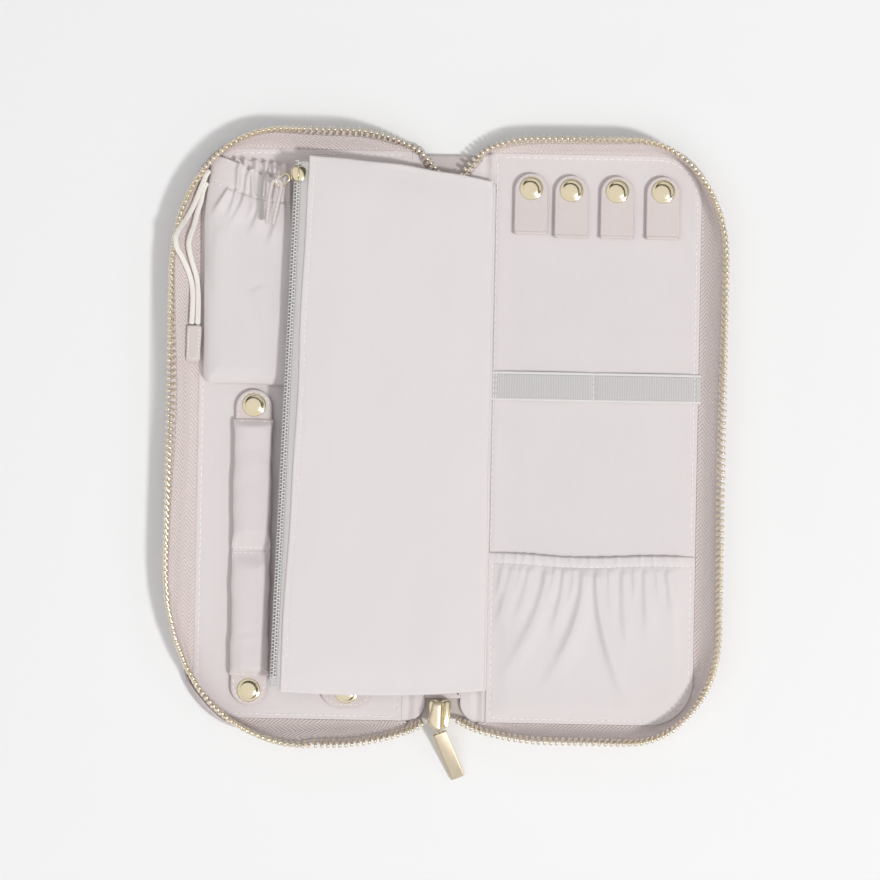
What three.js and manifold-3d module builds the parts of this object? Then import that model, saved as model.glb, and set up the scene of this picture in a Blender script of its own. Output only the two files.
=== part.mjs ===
// A soft travel case for small valuables, lying open on a table.
// Two padded halves fold about a flat spine and close with a metal zip that runs round three sides.
// A flat zipped page is sewn along the edge of the right half and lies over the left one.
// Units are millimetres, +Z is up, and the origin is under the middle of the spine, on the table.

import * as THREE from "three";
import { mergeVertices } from "three/addons/utils/BufferGeometryUtils.js";
import Module from "manifold-3d";

const wasm = await Module();
wasm.setup();

// Panels
const foldX = 14.5; // fold line of each half, measured from the middle of the spine
const panelEdgeX = 107.3; // outer edge of the lining panels
const panelHalfY = 122.3; // half the length of the lining panels
const panelCornerR = 19;
const coverThick = 1.2;
const boardThick = 2.2;
const liningThick = 1.0;
const coverMargin = 1.5; // how far the cover stands past the lining panel
const boardInset = 1.0;
const foldGap = 0.15; // half the gap along a fold
const spineShort = 1.3; // how much the spine stops short of the panels' ends
const spineLiningShort = 9; // and how much its lining stops short of the spine's
const spineHalfY = panelHalfY - spineShort;
const spineLiningHalfY = spineHalfY - spineLiningShort;

const boardZ = coverThick;
const liningZ = coverThick + boardThick;
const floorZ = liningZ + liningThick; // the lining's face, where the contents lie
const foldZ = floorZ / 2; // height of the fold axes

// Zip wall round each half
const wallFootMargin = 0.9; // from the lining's edge to the wall's foot line
const wallFootZ = 1.7;
const toothTipZ = 14.6;
const toothTipZAtSpine = 7.5;
const dipEndX = 45; // the rows come down towards the spine from here
const clearance = 0.3;
const tapeThick = 0.7;
const gussetThick = 1.1;
const gussetHeight = 7.4;
const tapeFromFoot = 4.7;
const tapeLeast = 1.6; // what shows of the tape where the wall is low
const toothPitch = 2.54;
const toothWidth = 1.3;
const toothLength = 3.0;
const toothThick = 1.8;
const clampLength = 1.4; // the part of a tooth that grips the tape's corded edge
const rowEndX = 15.2; // each half's rows and walls stop here, beside the fold

// Tips of the two rows seen from above: reach, and the corner radii along X and Y
const rows = {
  right: {
    reachX: panelEdgeX + 10.7,
    topY: panelHalfY + 6.2,
    bottomY: -(panelHalfY + 7.7),
    outerTop: [41.4, 51.3],
    outerBottom: [39.4, 47.3],
    spineTop: [32.5, 24.6],
    spineBottom: [44.4, 13.8],
    topStartX: 1.2,
    bottomEndX: 1.6,
  },
  left: {
    reachX: panelEdgeX + 12.3,
    topY: panelHalfY + 8.2,
    bottomY: -(panelHalfY + 10.8),
    outerTop: [47.3, 61.1],
    outerBottom: [61.1, 74.0],
    spineTop: [42.4, 28.1],
    spineBottom: [51.3, 17.7],
    topStartX: 1.8,
    bottomEndX: 1.6,
  },
};

// Zip slider and puller at the foot of the spine
const sliderX = -1.0;
const sliderY = -(spineHalfY - 2.6);
const sliderLength = 12.4;
const sliderWidth = 9.6;
const sliderZ = 4.9;
const sliderPlate = 1.1;
const sliderChannel = 2.4;
const crownHeight = 2.6;
const pullerLength = 23.2;
const pullerWidth = 6.1;
const pullerThick = 1.3;
const pullerTurn = 23; // degrees from straight down the page
const pullerPivot = [-1.2, sliderY - 7.8, 8.6];
const pullerEndZ = 0.9;
const crownWidth = 6.4;
const crownLength = 11.6;
const crownShiftX = -1.9;
const crownShiftY = 0.2;
const zipEndFromX = 9.5;
const zipEndTopX = 2.6;
const zipEndBottomRightX = 4.8;
const zipEndBottomFromX = 11.5;
const zipEndBottomLeftX = 6.8;
const zipEndFootX = 2.6;
const zipEndFootY = 1.2;
const zipEndFootMostX = 11.6; // clear of the half when it folds over
const zipEndLift = 0.2;

// Page
const pageAxisX = 17.8;
const pageAxisZ = 8.0;
const pageTilt = 5.5; // degrees that it rises to its free edge
const pageTopY = panelHalfY - 4.1;
const pageRootTopY = panelHalfY - 13.7;
const pageRootBottomY = -(panelHalfY - 14.5);
const pageBottomY = -(panelHalfY - 11.3);
const coilTop = [85.2, panelHalfY - 14.3]; // outer edge of the coil: distance from the hinge axis, and Y
const coilBottom = [91.3, -(panelHalfY - 25.3)];
const pageStripThick = 1.2;
const pageCloth = 0.6;
const pageGap = 0.3;
const pipingR = 0.6;
const pipingFlange = 8.0; // sewn edge of the piping, on which the page hangs
const pageStart = pipingFlange + pageGap * 2; // from the hinge axis to the cloth
const pageTapeTop = 3.5; // width of the grey tape at each end
const pageTapeBottom = 1.8;
const coilWidth = 2.6;
const coilThick = 2.0;
const coilTurns = 60;
const pageSliderY = panelHalfY - 12.4;
const pageSliderLength = 6.4;
const pageSliderWidth = 6.2;
const pageSliderWall = 0.7;
const linkStart = [-69.7, pageSliderY - 0.8, 17.0];
const linkEnd = [-73.7, linkStart[1] - 4.2, 16.7];
const linkWidth = 4.0;
const linkThick = 1.2;
const pullStart = [-74.6, linkEnd[1] - 1.3, 16.6];
const pullWidth = 4.6;
const pullThick = 1.8;
const pullEnd = [-77.6, pullStart[1] - 14.2, 16.9];

// Snap fasteners
const capR = 5.0;
const capDome = 1.5;
const postR = 1.5;
const postClearance = 0.3;
const studR = 2.6;

// Necklace tabs
const tabCentersX = [33.8, 51.0, 70.6, 90.2];
const tabTopY = [9.1, 9.7, 9.7, 9.5].map((fromEnd) => panelHalfY - fromEnd);
const tabBottomY = [35.1, 36.3, 36.3, 36.3].map((fromEnd) => panelHalfY - fromEnd);
const tabWidth = 14.2;
const tabCapFromEnd = 6.4;
const tabLeather = 1.0;
const tabGap = 0.5;

// Elastic band and pocket on the right half
const bandTopY = 28.6;
const bandBottomY = 16.0;
const bandThick = 0.9;
const bandStartX = 18.7;
const bandEndX = 106.9;
const pocketTopY = -49.2;
const pocketLeftX = 18.8;
const pocketMargin = 0.6;
const pocketRise = 3.6;
const pocketEdge = 0.9;
const pocketGathers = 15;
const gatherDepth = 0.45;

// Ring strap on the left half
const strapX = -82.9;
const strapWidth = 16.6;
const strapStitchY = -50.0;
const strapTopY = 6.2;
const strapBottomY = -(panelHalfY - 18.3);
const strapRestZ = floorZ + 0.4;
const strapThinZ = 7.3;
const strapThickZ = 10.5;
const strapGap = 0.4;
const strapTabWidth = 15.6;
const strapTabReach = 12.4;
const strapCapFromEnd = 6.6;
const strapLeather = 1.4;
const strapStudHeight = 0.9;

// Bracelet strap under the page
const braceletX = -41.2;
const braceletWidth = 22.4;
const braceletTopY = 6.2;
const braceletBottomY = -(panelHalfY - 18.3);
const braceletTabReach = 12.6;
const braceletPuff = 3.2;
const braceletCapFromEnd = 6.9;

// Pouch
const pouchLeftX = -104.9;
const pouchRightX = -67.0;
const pouchBottomY = 20.6;
const pouchTopY = panelHalfY - 5.9;
const mouthInset = 4.6; // how far the mouth's left corner is drawn in
const mouthLength = 16;
const pouchRestZ = floorZ + 0.3;
const pouchTopZ = 11.0;
const mouthDropRight = 6.0;
const pouchCornerR = 4.5;
const cordWidth = 2.0;
const cordThick = 1.1;
const cordA = [
  [-103.2, 111.4, 10.2],
  [-104.6, 110.4, 9.6],
  [-105.8, 107.6, 9.0],
  [-107.8, 102.5, 8.8],
  [-109.8, 97.0, 9.6],
  [-112.6, 91.0, 11.6],
  [-115.0, 86.5, 14.9],
  [-116.6, 82.5, 16.8],
  [-116.2, 78.2, 16.2],
  [-114.2, 74.0, 12.4],
  [-112.0, 69.0, 9.6],
  [-110.4, 63.5, 8.0],
  [-109.8, 58.0, 8.3],
  [-109.8, 51.5, 8.8],
  [-110.0, 45.8, 8.9],
];
const cordB = [
  [-104.4, 106.6, 8.2],
  [-105.4, 105.4, 7.7],
  [-106.4, 102.8, 7.4],
  [-107.2, 98.6, 7.2],
  [-108.6, 94.0, 7.5],
  [-109.8, 88.0, 8.8],
  [-111.2, 83.4, 10.2],
  [-111.8, 80.0, 10.6],
  [-111.0, 75.0, 9.6],
  [-109.6, 70.0, 8.0],
  [-108.3, 65.0, 6.9],
  [-107.5, 57.0, 7.8],
  [-107.4, 51.0, 8.6],
  [-107.4, 45.8, 8.9],
];
const endTabWidth = 6.2;
const endTabLength = 15.4;
const endTabThick = 1.9;
const endTabTop = [-108.8, 45.4, 7.95];
const endTabTurn = -1.5;

const colours = {
  shell: 0xbeb4b2,
  lining: 0xdfd9d9,
  tape: 0xcbc0bd,
  leather: 0xd2cbc8,
  gold: 0xd9c28e,
  elastic: 0xcdcbcb,
  greyTape: 0xcac8c6,
  pouch: 0xdcd6d6,
  cord: 0xeeeae4,
  board: 0x8c8a88,
};
const finishes = {
  shell: [0.55, 0],
  lining: [0.7, 0],
  tape: [0.85, 0],
  leather: [0.5, 0],
  gold: [0.22, 1],
  elastic: [0.8, 0],
  greyTape: [0.8, 0],
  pouch: [0.45, 0],
  cord: [0.8, 0],
  board: [0.9, 0],
};

const radians = Math.PI / 180;
const vec = (x, y, z) => new THREE.Vector3(x, y, z);
const part = new THREE.Group();

// Adds one named piece with the material of its kind
function add(name, geometry, kind, parent = part) {
  const [roughness, metalness] = finishes[kind];
  const material = new THREE.MeshStandardMaterial({ color: colours[kind], roughness, metalness });
  const mesh = new THREE.Mesh(geometry, material);
  mesh.name = name;
  parent.add(mesh);
  return mesh;
}

// A closed mesh as a solid for joining and cutting
function solid(geometry) {
  const bare = geometry.index ? geometry.toNonIndexed() : geometry.clone();
  bare.deleteAttribute("normal");
  bare.deleteAttribute("uv");
  const merged = mergeVertices(bare, 1e-4);
  return new wasm.Manifold(
    new wasm.Mesh({
      numProp: 3,
      vertProperties: merged.attributes.position.array,
      triVerts: new Uint32Array(merged.index.array),
    }),
  );
}

function geometryOf(body) {
  const mesh = body.getMesh();
  const geometry = new THREE.BufferGeometry();
  geometry.setAttribute("position", new THREE.BufferAttribute(mesh.vertProperties, 3));
  geometry.setIndex(new THREE.BufferAttribute(mesh.triVerts, 1));
  return geometry;
}

const join = (...geometries) =>
  geometryOf(geometries.map(solid).reduce((all, next) => all.add(next)));

// Collects triangles, and turns them so that the body's faces point out
function bodyOf(triangles) {
  let volume = 0;
  for (const [a, b, c] of triangles) volume += a.dot(b.clone().cross(c));
  const points = [];
  for (const [a, b, c] of triangles) {
    const order = volume > 0 ? [a, b, c] : [a, c, b];
    for (const p of order) points.push(p.x, p.y, p.z);
  }
  const geometry = new THREE.BufferGeometry();
  geometry.setAttribute("position", new THREE.Float32BufferAttribute(points, 3));
  return geometry;
}

function quad(triangles, a, b, c, d) {
  triangles.push([a, b, c], [a, c, d]);
}

// Skin over a row of closed sections that all have the same number of points, with both ends capped
function loft(sections) {
  const triangles = [];
  const count = sections[0].length;
  for (let i = 0; i + 1 < sections.length; i++) {
    for (let j = 0; j < count; j++) {
      const k = (j + 1) % count;
      quad(triangles, sections[i][j], sections[i + 1][j], sections[i + 1][k], sections[i][k]);
    }
  }
  const first = sections[0];
  const last = sections[sections.length - 1];
  for (let j = 1; j + 1 < count; j++) {
    triangles.push([first[0], first[j], first[j + 1]]);
    triangles.push([last[0], last[j + 1], last[j]]);
  }
  return bodyOf(triangles);
}

// Outline drawn from points, with the named corners rounded
function roundedShape(corners) {
  const shape = new THREE.Shape();
  const count = corners.length;
  corners.forEach(([x, y, r], i) => {
    const before = corners[(i + count - 1) % count];
    const after = corners[(i + 1) % count];
    const corner = new THREE.Vector2(x, y);
    const back = new THREE.Vector2(before[0], before[1]).sub(corner).normalize();
    const ahead = new THREE.Vector2(after[0], after[1]).sub(corner).normalize();
    const start = corner.clone().addScaledVector(back, r);
    const end = corner.clone().addScaledVector(ahead, r);
    if (i === 0) shape.moveTo(start.x, start.y);
    else shape.lineTo(start.x, start.y);
    if (r > 0) {
      const k = 0.4477 * r; // distance that makes a cubic curve run round like a quarter circle
      shape.bezierCurveTo(
        corner.x + back.x * k,
        corner.y + back.y * k,
        corner.x + ahead.x * k,
        corner.y + ahead.y * k,
        end.x,
        end.y,
      );
    }
  });
  shape.closePath();
  return shape;
}

function plate(shape, low, high, curveSegments = 8) {
  const geometry = new THREE.ExtrudeGeometry(shape, {
    depth: high - low,
    bevelEnabled: false,
    curveSegments,
  });
  return geometry.translate(0, 0, low);
}

function box(low, high) {
  const geometry = new THREE.BoxGeometry(high[0] - low[0], high[1] - low[1], high[2] - low[2]);
  return geometry.translate((low[0] + high[0]) / 2, (low[1] + high[1]) / 2, (low[2] + high[2]) / 2);
}

function lathe(profile, segments) {
  const points = profile.map(([r, z]) => new THREE.Vector2(r, z));
  return new THREE.LatheGeometry(points, segments).rotateX(Math.PI / 2);
}

// Outline of a half's panel, grown by a margin, from the fold to the outer edge
function panelShape(sign, margin, foldSide) {
  const outer = sign * (panelEdgeX + margin);
  const y = panelHalfY + margin;
  const r = panelCornerR + margin;
  const points = [
    [sign * foldSide, -y, 0],
    [outer, -y, r],
    [outer, y, r],
    [sign * foldSide, y, 0],
  ];
  return roundedShape(points);
}

// Covers, boards and lining panels: the boards and linings are mitred along the folds
function addHalf(side, sign) {
  const coverFold = foldX + foldGap;
  add(side + "_cover", plate(panelShape(sign, coverMargin, coverFold), 0, coverThick), "shell");
  const boardFold = foldX + foldGap + Math.max(0, liningZ - foldZ);
  add(side + "_board", plate(panelShape(sign, -boardInset, boardFold), boardZ, liningZ), "board");
  const liningFold = foldX + foldGap + floorZ - foldZ;
  add(side + "_lining_panel", plate(panelShape(sign, 0, liningFold), liningZ, floorZ), "lining");
}

function addSpine() {
  const coverHalf = foldX - foldGap;
  const boardHalf = foldX - foldGap - (liningZ - foldZ);
  const liningHalf = foldX - foldGap - (floorZ - foldZ);
  add("spine_cover", box([-coverHalf, -spineHalfY, 0], [coverHalf, spineHalfY, coverThick]), "shell");
  const boardY = spineLiningHalfY - boardInset;
  add("spine_board", box([-boardHalf, -boardY, boardZ], [boardHalf, boardY, liningZ]), "board");
  const shape = roundedShape([
    [-liningHalf, -spineLiningHalfY, 3],
    [liningHalf, -spineLiningHalfY, 3],
    [liningHalf, spineLiningHalfY, 3],
    [-liningHalf, spineLiningHalfY, 3],
  ]);
  add("spine_lining", plate(shape, liningZ, floorZ, 4), "lining");
}

// Point of an ellipse whose normal points at an angle, so that curves of different radii pair up
function ellipsePoint(centre, radii, angle) {
  const c = radii[0] * Math.cos(angle);
  const s = radii[1] * Math.sin(angle);
  const size = Math.hypot(c, s);
  return [centre[0] + (radii[0] * c) / size, centre[1] + (radii[1] * s) / size];
}

function smoothStep(t) {
  const u = Math.min(1, Math.max(0, t));
  return u * u * (3 - 2 * u);
}

function tipZ(x) {
  const t = (Math.abs(x) - 2) / (dipEndX - 2);
  return toothTipZAtSpine + (toothTipZ - toothTipZAtSpine) * smoothStep(t);
}

// The wall's foot line and the row's tip line, as pairs of points from the top of the spine round
// the half to its bottom. They are drawn for a half at +X and mirrored by the sign.
function wallLines(side, sign) {
  const row = rows[side];
  const footX = panelEdgeX + wallFootMargin;
  const footY = panelHalfY + wallFootMargin;
  const footR = panelCornerR + wallFootMargin;
  const pairs = [];
  const put = (foot, tip) => {
    pairs.push([
      vec(sign * foot[0], foot[1], wallFootZ),
      vec(sign * tip[0], tip[1], tipZ(tip[0])),
    ]);
  };
  const arc = (footCentre, tipCentre, radii, from, to, steps, footRadius) => {
    for (let i = 0; i <= steps; i++) {
      const angle = (from + ((to - from) * i) / steps) * radians;
      const foot = ellipsePoint(footCentre, [footRadius, footRadius], angle);
      put(foot, ellipsePoint(tipCentre, radii, angle));
    }
  };
  const line = (footA, footB, tipA, tipB, steps) => {
    for (let i = 1; i < steps; i++) {
      const t = i / steps;
      const mix = (a, b) => [a[0] + (b[0] - a[0]) * t, a[1] + (b[1] - a[1]) * t];
      put(mix(footA, footB), mix(tipA, tipB));
    }
  };
  // Stretch beside the fold, where the row bends down and in towards the spine
  const spineBend = (radii, startX, y, footYSigned, forward) => {
    const centre = [startX + radii[0], y - Math.sign(y) * radii[1]];
    const steps = 7;
    for (let i = 0; i <= steps; i++) {
      const t = forward ? i / steps : 1 - i / steps;
      const x = rowEndX + (centre[0] - rowEndX) * t;
      const along = (centre[0] - x) / radii[0];
      const tipY = centre[1] + Math.sign(y) * radii[1] * Math.sqrt(Math.max(0, 1 - along * along));
      put([x, footYSigned], [x, tipY]);
    }
    return centre;
  };
  const topCentre = spineBend(row.spineTop, row.topStartX, row.topY, footY, true);
  const outerTopCentre = [row.reachX - row.outerTop[0], row.topY - row.outerTop[1]];
  const outerBottomCentre = [row.reachX - row.outerBottom[0], row.bottomY + row.outerBottom[1]];
  const footTop = [footX - footR, footY - footR];
  const footBottom = [footX - footR, footR - footY];
  line([topCentre[0], footY], [footTop[0], footY], [topCentre[0], row.topY],
    [outerTopCentre[0], row.topY], 4);
  arc(footTop, outerTopCentre, row.outerTop, 90, 0, 10, footR);
  line([footX, footTop[1]], [footX, footBottom[1]], [row.reachX, outerTopCentre[1]],
    [row.reachX, outerBottomCentre[1]], 6);
  arc(footBottom, outerBottomCentre, row.outerBottom, 0, -90, 10, footR);
  const bottomCentreX = row.bottomEndX + row.spineBottom[0];
  line([footBottom[0], -footY], [bottomCentreX, -footY], [outerBottomCentre[0], row.bottomY],
    [bottomCentreX, row.bottomY], 4);
  spineBend(row.spineBottom, row.bottomEndX, row.bottomY, -footY, false);
  return pairs;
}

// Local directions of the wall at a pair: up along it, and out through it
function wallFrame(pairs, i, sign) {
  const [foot, tip] = pairs[i];
  const before = pairs[Math.max(0, i - 1)][1];
  const after = pairs[Math.min(pairs.length - 1, i + 1)][1];
  const along = after.clone().sub(before).normalize();
  const up = tip.clone().sub(foot).normalize();
  const out = up.clone().cross(along).normalize().multiplyScalar(sign);
  return { foot, tip, up, out, along, length: tip.distanceTo(foot) };
}

// A strip of even thickness that follows the wall, from one height along it to another
function wallStrip(pairs, sign, from, to, nearSide, farSide) {
  const sections = pairs.map((pair, i) => {
    const frame = wallFrame(pairs, i, sign);
    const at = (rise, out) =>
      frame.foot.clone().addScaledVector(frame.up, rise).addScaledVector(frame.out, out);
    const low = from(frame.length);
    const high = to(frame.length);
    return [at(low, nearSide), at(high, nearSide), at(high, farSide), at(low, farSide)];
  });
  return loft(sections);
}

// Evenly spaced pairs, found by length along the tip line
function evenPairs(pairs, startAt, step) {
  const lengths = [0];
  for (let i = 1; i < pairs.length; i++) {
    lengths.push(lengths[i - 1] + pairs[i][1].distanceTo(pairs[i - 1][1]));
  }
  const total = lengths[lengths.length - 1];
  const at = (distance) => {
    let i = 0;
    while (i < pairs.length - 2 && lengths[i + 1] < distance) i++;
    const t = (distance - lengths[i]) / (lengths[i + 1] - lengths[i]);
    return [pairs[i][0].clone().lerp(pairs[i + 1][0], t), pairs[i][1].clone().lerp(pairs[i + 1][1], t)];
  };
  const count = Math.floor((total - 2 * startAt - toothWidth) / step) + 1;
  const places = [];
  for (let i = 0; i < count; i++) {
    places.push(at(startAt + i * step), at(startAt + i * step + toothWidth));
  }
  return places;
}

// A row of teeth with the corded edge that they grip, as one comb that follows the tip line.
// Each tooth tapers back to the tape where it is clamped on. rootBack says how far the comb
// reaches back from the tips, for a given height of the wall.
function toothRow(pairs, sign, rootBack) {
  const places = evenPairs(pairs, toothPitch / 2, toothPitch);
  const middle = -clearance - tapeThick / 2;
  const cuts = places.map((pair, i) => {
    const frame = wallFrame(places, i, sign);
    const at = (back, out) =>
      frame.tip.clone().addScaledVector(frame.up, -back).addScaledVector(frame.out, middle + out);
    const half = toothThick / 2;
    return {
      root: at(rootBack(frame.length), 0),
      neckIn: at(toothLength, -half),
      neckOut: at(toothLength, half),
      tipIn: at(0, -half * 0.8),
      tipOut: at(0, half * 0.8),
    };
  });
  const triangles = [];
  for (let i = 0; i + 1 < cuts.length; i++) {
    const a = cuts[i];
    const b = cuts[i + 1];
    quad(triangles, a.root, b.root, b.neckIn, a.neckIn);
    quad(triangles, a.neckOut, b.neckOut, b.root, a.root);
    if (i % 2 === 0) {
      quad(triangles, a.neckIn, b.neckIn, b.tipIn, a.tipIn);
      quad(triangles, a.tipIn, b.tipIn, b.tipOut, a.tipOut);
      quad(triangles, a.tipOut, b.tipOut, b.neckOut, a.neckOut);
      quad(triangles, a.neckIn, a.tipIn, a.tipOut, a.neckOut);
      quad(triangles, b.neckOut, b.tipOut, b.tipIn, b.neckIn);
    } else {
      quad(triangles, a.neckIn, b.neckIn, b.neckOut, a.neckOut);
    }
  }
  const first = cuts[0];
  const last = cuts[cuts.length - 1];
  triangles.push([first.root, first.neckIn, first.neckOut]);
  triangles.push([last.root, last.neckOut, last.neckIn]);
  return bodyOf(triangles);
}

const toothRoot = () => toothLength + clampLength;

// Wall of one half: the outer gusset, the zip tape inside it and the row of teeth on its edge
function addWall(side, sign) {
  const pairs = wallLines(side, sign);
  const tapeTop = (length) => length - toothLength - clampLength - clearance;
  const tapeFoot = (length) => Math.min(tapeFromFoot, tapeTop(length) - tapeLeast);
  const gussetTop = (length) => Math.min(gussetHeight, tapeTop(length));
  const gusset = wallStrip(pairs, sign, () => 0.2, gussetTop, clearance / 2,
    clearance / 2 + gussetThick);
  add(side + "_gusset", gusset, "shell");
  const tape = wallStrip(pairs, sign, tapeFoot, tapeTop, -clearance / 2 - tapeThick,
    -clearance / 2);
  add(side + "_zip_tape", tape, "tape");
  add(side + "_zip_teeth", toothRow(pairs, sign, toothRoot), "gold");
}

// Ends of the zip where it runs down to the spine: a few teeth on a stretch of corded tape
function addZipEnd(name, side, sign, top, fromX, toX) {
  const row = rows[side];
  const radii = top ? row.spineTop : row.spineBottom;
  const startX = top ? row.topStartX : row.bottomEndX;
  const way = top ? 1 : -1;
  const centre = [startX + radii[0], (top ? row.topY : row.bottomY) - way * radii[1]];
  const footZ = (top ? floorZ : coverThick) + clearance;
  const pairs = [];
  const steps = 6;
  for (let i = 0; i <= steps; i++) {
    const x = fromX + ((toX - fromX) * i) / steps;
    const along = (centre[0] - x) / radii[0];
    const y = centre[1] + way * radii[1] * Math.sqrt(Math.max(0, 1 - along * along));
    const footY = way * Math.min(Math.abs(y) - zipEndFootY, spineHalfY - 2 * clearance);
    const foot = vec(sign * Math.min(x + zipEndFootX, zipEndFootMostX), footY, footZ);
    pairs.push([foot, vec(sign * x, y, tipZ(x) + zipEndLift)]);
  }
  add(name, toothRow(pairs, sign * -way, (length) => length), "gold");
}

// Zip slider with its crown, held on the spine, and the flat bar that hangs over the edge
function addMainSlider() {
  const plateShape = roundedShape([
    [-sliderWidth * 0.36, -sliderLength / 2, 2],
    [sliderWidth * 0.36, -sliderLength / 2, 2],
    [sliderWidth / 2, sliderLength / 2, 2],
    [-sliderWidth / 2, sliderLength / 2, 2],
  ]);
  const low = plate(plateShape, sliderZ, sliderZ + sliderPlate, 3);
  const topZ = sliderZ + sliderPlate + sliderChannel;
  const high = plate(plateShape, topZ, topZ + sliderPlate, 3);
  const post = box([-1.2, 0, sliderZ + 0.2], [1.2, sliderLength / 2 - 1, topZ + 0.2]);
  const crownShape = roundedShape([
    [-crownWidth / 2, -crownLength / 2, crownWidth * 0.42],
    [crownWidth / 2, -crownLength / 2, crownWidth * 0.42],
    [crownWidth * 0.34, crownLength / 2, 1],
    [-crownWidth * 0.34, crownLength / 2, 1],
  ]);
  const crown = plate(crownShape, topZ + sliderPlate - 0.2, topZ + sliderPlate + crownHeight, 5);
  const slider = join(low, high, post, crown.translate(crownShiftX, crownShiftY, 0));
  const mesh = add("zip_slider", slider, "gold");
  mesh.position.set(sliderX, sliderY, 0);

  const bar = roundedShape([
    [-pullerWidth / 2, -pullerLength, 0.5],
    [pullerWidth / 2, -pullerLength, 0.5],
    [pullerWidth / 2, 0, 0.5],
    [-pullerWidth / 2, 0, 0.5],
  ]);
  const hung = new THREE.Group();
  hung.position.set(...pullerPivot);
  hung.rotation.z = pullerTurn * radians;
  const drop = new THREE.Group();
  drop.rotation.x = Math.asin((pullerPivot[2] - pullerEndZ) / pullerLength);
  hung.add(drop);
  add("zip_puller", plate(bar, -pullerThick / 2, pullerThick / 2, 2), "gold", drop);
  part.add(hung);
}

// A body between two height functions over a grid of places
function pad(countU, countV, place, low, high) {
  const grid = (height) => {
    const points = [];
    for (let j = 0; j <= countV; j++) {
      const line = [];
      for (let i = 0; i <= countU; i++) {
        const u = i / countU;
        const v = j / countV;
        line.push(vec(...place(u, v), height(u, v)));
      }
      points.push(line);
    }
    return points;
  };
  const under = grid(low);
  const over = grid(high);
  const triangles = [];
  for (let j = 0; j < countV; j++) {
    for (let i = 0; i < countU; i++) {
      quad(triangles, over[j][i], over[j][i + 1], over[j + 1][i + 1], over[j + 1][i]);
      quad(triangles, under[j][i], under[j + 1][i], under[j + 1][i + 1], under[j][i + 1]);
    }
  }
  for (let i = 0; i < countU; i++) {
    quad(triangles, under[0][i], under[0][i + 1], over[0][i + 1], over[0][i]);
    quad(triangles, under[countV][i + 1], under[countV][i], over[countV][i], over[countV][i + 1]);
  }
  for (let j = 0; j < countV; j++) {
    quad(triangles, under[j + 1][0], under[j][0], over[j][0], over[j + 1][0]);
    quad(triangles, under[j][countU], under[j + 1][countU], over[j + 1][countU], over[j][countU]);
  }
  return bodyOf(triangles);
}

// Domed cap of a snap fastener: its flange rests on the leather and its post goes through it
function snapCap(x, y, leatherTop, postEnd) {
  return lathe(
    [
      [0, postEnd],
      [postR, postEnd],
      [postR, leatherTop],
      [capR, leatherTop],
      [capR, leatherTop + capDome * 0.35],
      [capR * 0.8, leatherTop + capDome * 0.75],
      [capR * 0.45, leatherTop + capDome * 0.95],
      [0, leatherTop + capDome],
    ],
    18,
  ).translate(x, y, 0);
}

function snapStud(x, y, z, height) {
  return lathe([[0, z], [studR, z], [studR, z + height], [0, z + height]], 12).translate(x, y, 0);
}

// Leather tongue with one round end and a hole for the snap's post
function tongueShape(x, width, squareY, roundY, holeFromEnd) {
  const way = Math.sign(roundY - squareY);
  const r = width / 2;
  const shape = new THREE.Shape();
  shape.moveTo(x - r, squareY);
  shape.lineTo(x - r, roundY - way * r);
  shape.absarc(x, roundY - way * r, r, Math.PI, 0, way > 0);
  shape.lineTo(x + r, squareY);
  shape.closePath();
  const hole = new THREE.Path();
  hole.absarc(x, roundY - way * holeFromEnd, postR + postClearance, 0, 2 * Math.PI);
  shape.holes.push(hole);
  return shape;
}

// Folded leather loops that hold chains: a sewn base, and a flap that snaps down over it
function addNecklaceTabs() {
  tabCentersX.forEach((x, i) => {
    const name = "necklace_tab_" + (i + 1);
    const top = tabTopY[i];
    const bottom = tabBottomY[i];
    const capY = top - tabCapFromEnd;
    const baseTop = floorZ + tabLeather;
    const flapLow = baseTop + tabGap;
    const flapTop = flapLow + tabLeather;
    const half = tabWidth / 2 - 0.4;
    const base = join(
      box([x - half, bottom + 0.3, floorZ], [x + half, capY + 4, baseTop]),
      snapStud(x, capY, baseTop - 0.2, tabGap - 0.05 + 0.15),
    );
    add(name + "_base", base, "leather");
    const flap = tongueShape(x, tabWidth, bottom + 0.5, top, tabCapFromEnd);
    add(name + "_flap", plate(flap, flapLow, flapTop), "leather");
    add(name + "_cap", snapCap(x, capY, flapTop, flapLow - 0.02), "gold");
  });
}

function addElasticBand() {
  const low = [bandStartX, bandBottomY, floorZ];
  add("elastic_band", box(low, [bandEndX, bandTopY, floorZ + bandThick]), "elastic");
}

// Gathered pocket: a thin cloth front that stands off the lining and is open along its top
function addPocket() {
  const left = pocketLeftX;
  const right = panelEdgeX - pocketMargin;
  const low = pocketMargin - panelHalfY;
  const r = panelCornerR - pocketMargin;
  const place = (u, v) => {
    const y = pocketTopY + (low - pocketTopY) * v;
    const over = Math.max(0, low + r - y);
    const edge = right - r + Math.sqrt(Math.max(0, r * r - over * over));
    return [left + (edge - left) * u, y];
  };
  const rise = (u, v) => {
    const across = smoothStep(Math.min(1, u / 0.2)) * smoothStep(Math.min(1, (1 - u) / 0.1));
    const down = smoothStep(Math.min(1, (1 - v) / 0.14));
    const fade = across * down * (1 - 0.75 * v);
    const gather = gatherDepth * Math.cos(u * pocketGathers * 2 * Math.PI) * fade;
    return across * down * (pocketRise - pocketEdge) - gatherDepth * fade + gather;
  };
  const top = (u, v) => floorZ + pocketEdge + rise(u, v);
  const under = (u, v) => floorZ + 0.1 + Math.max(0, rise(u, v));
  add("elastic_pocket", pad(pocketGathers * 4, 6, place, under, top), "lining");
}

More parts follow.
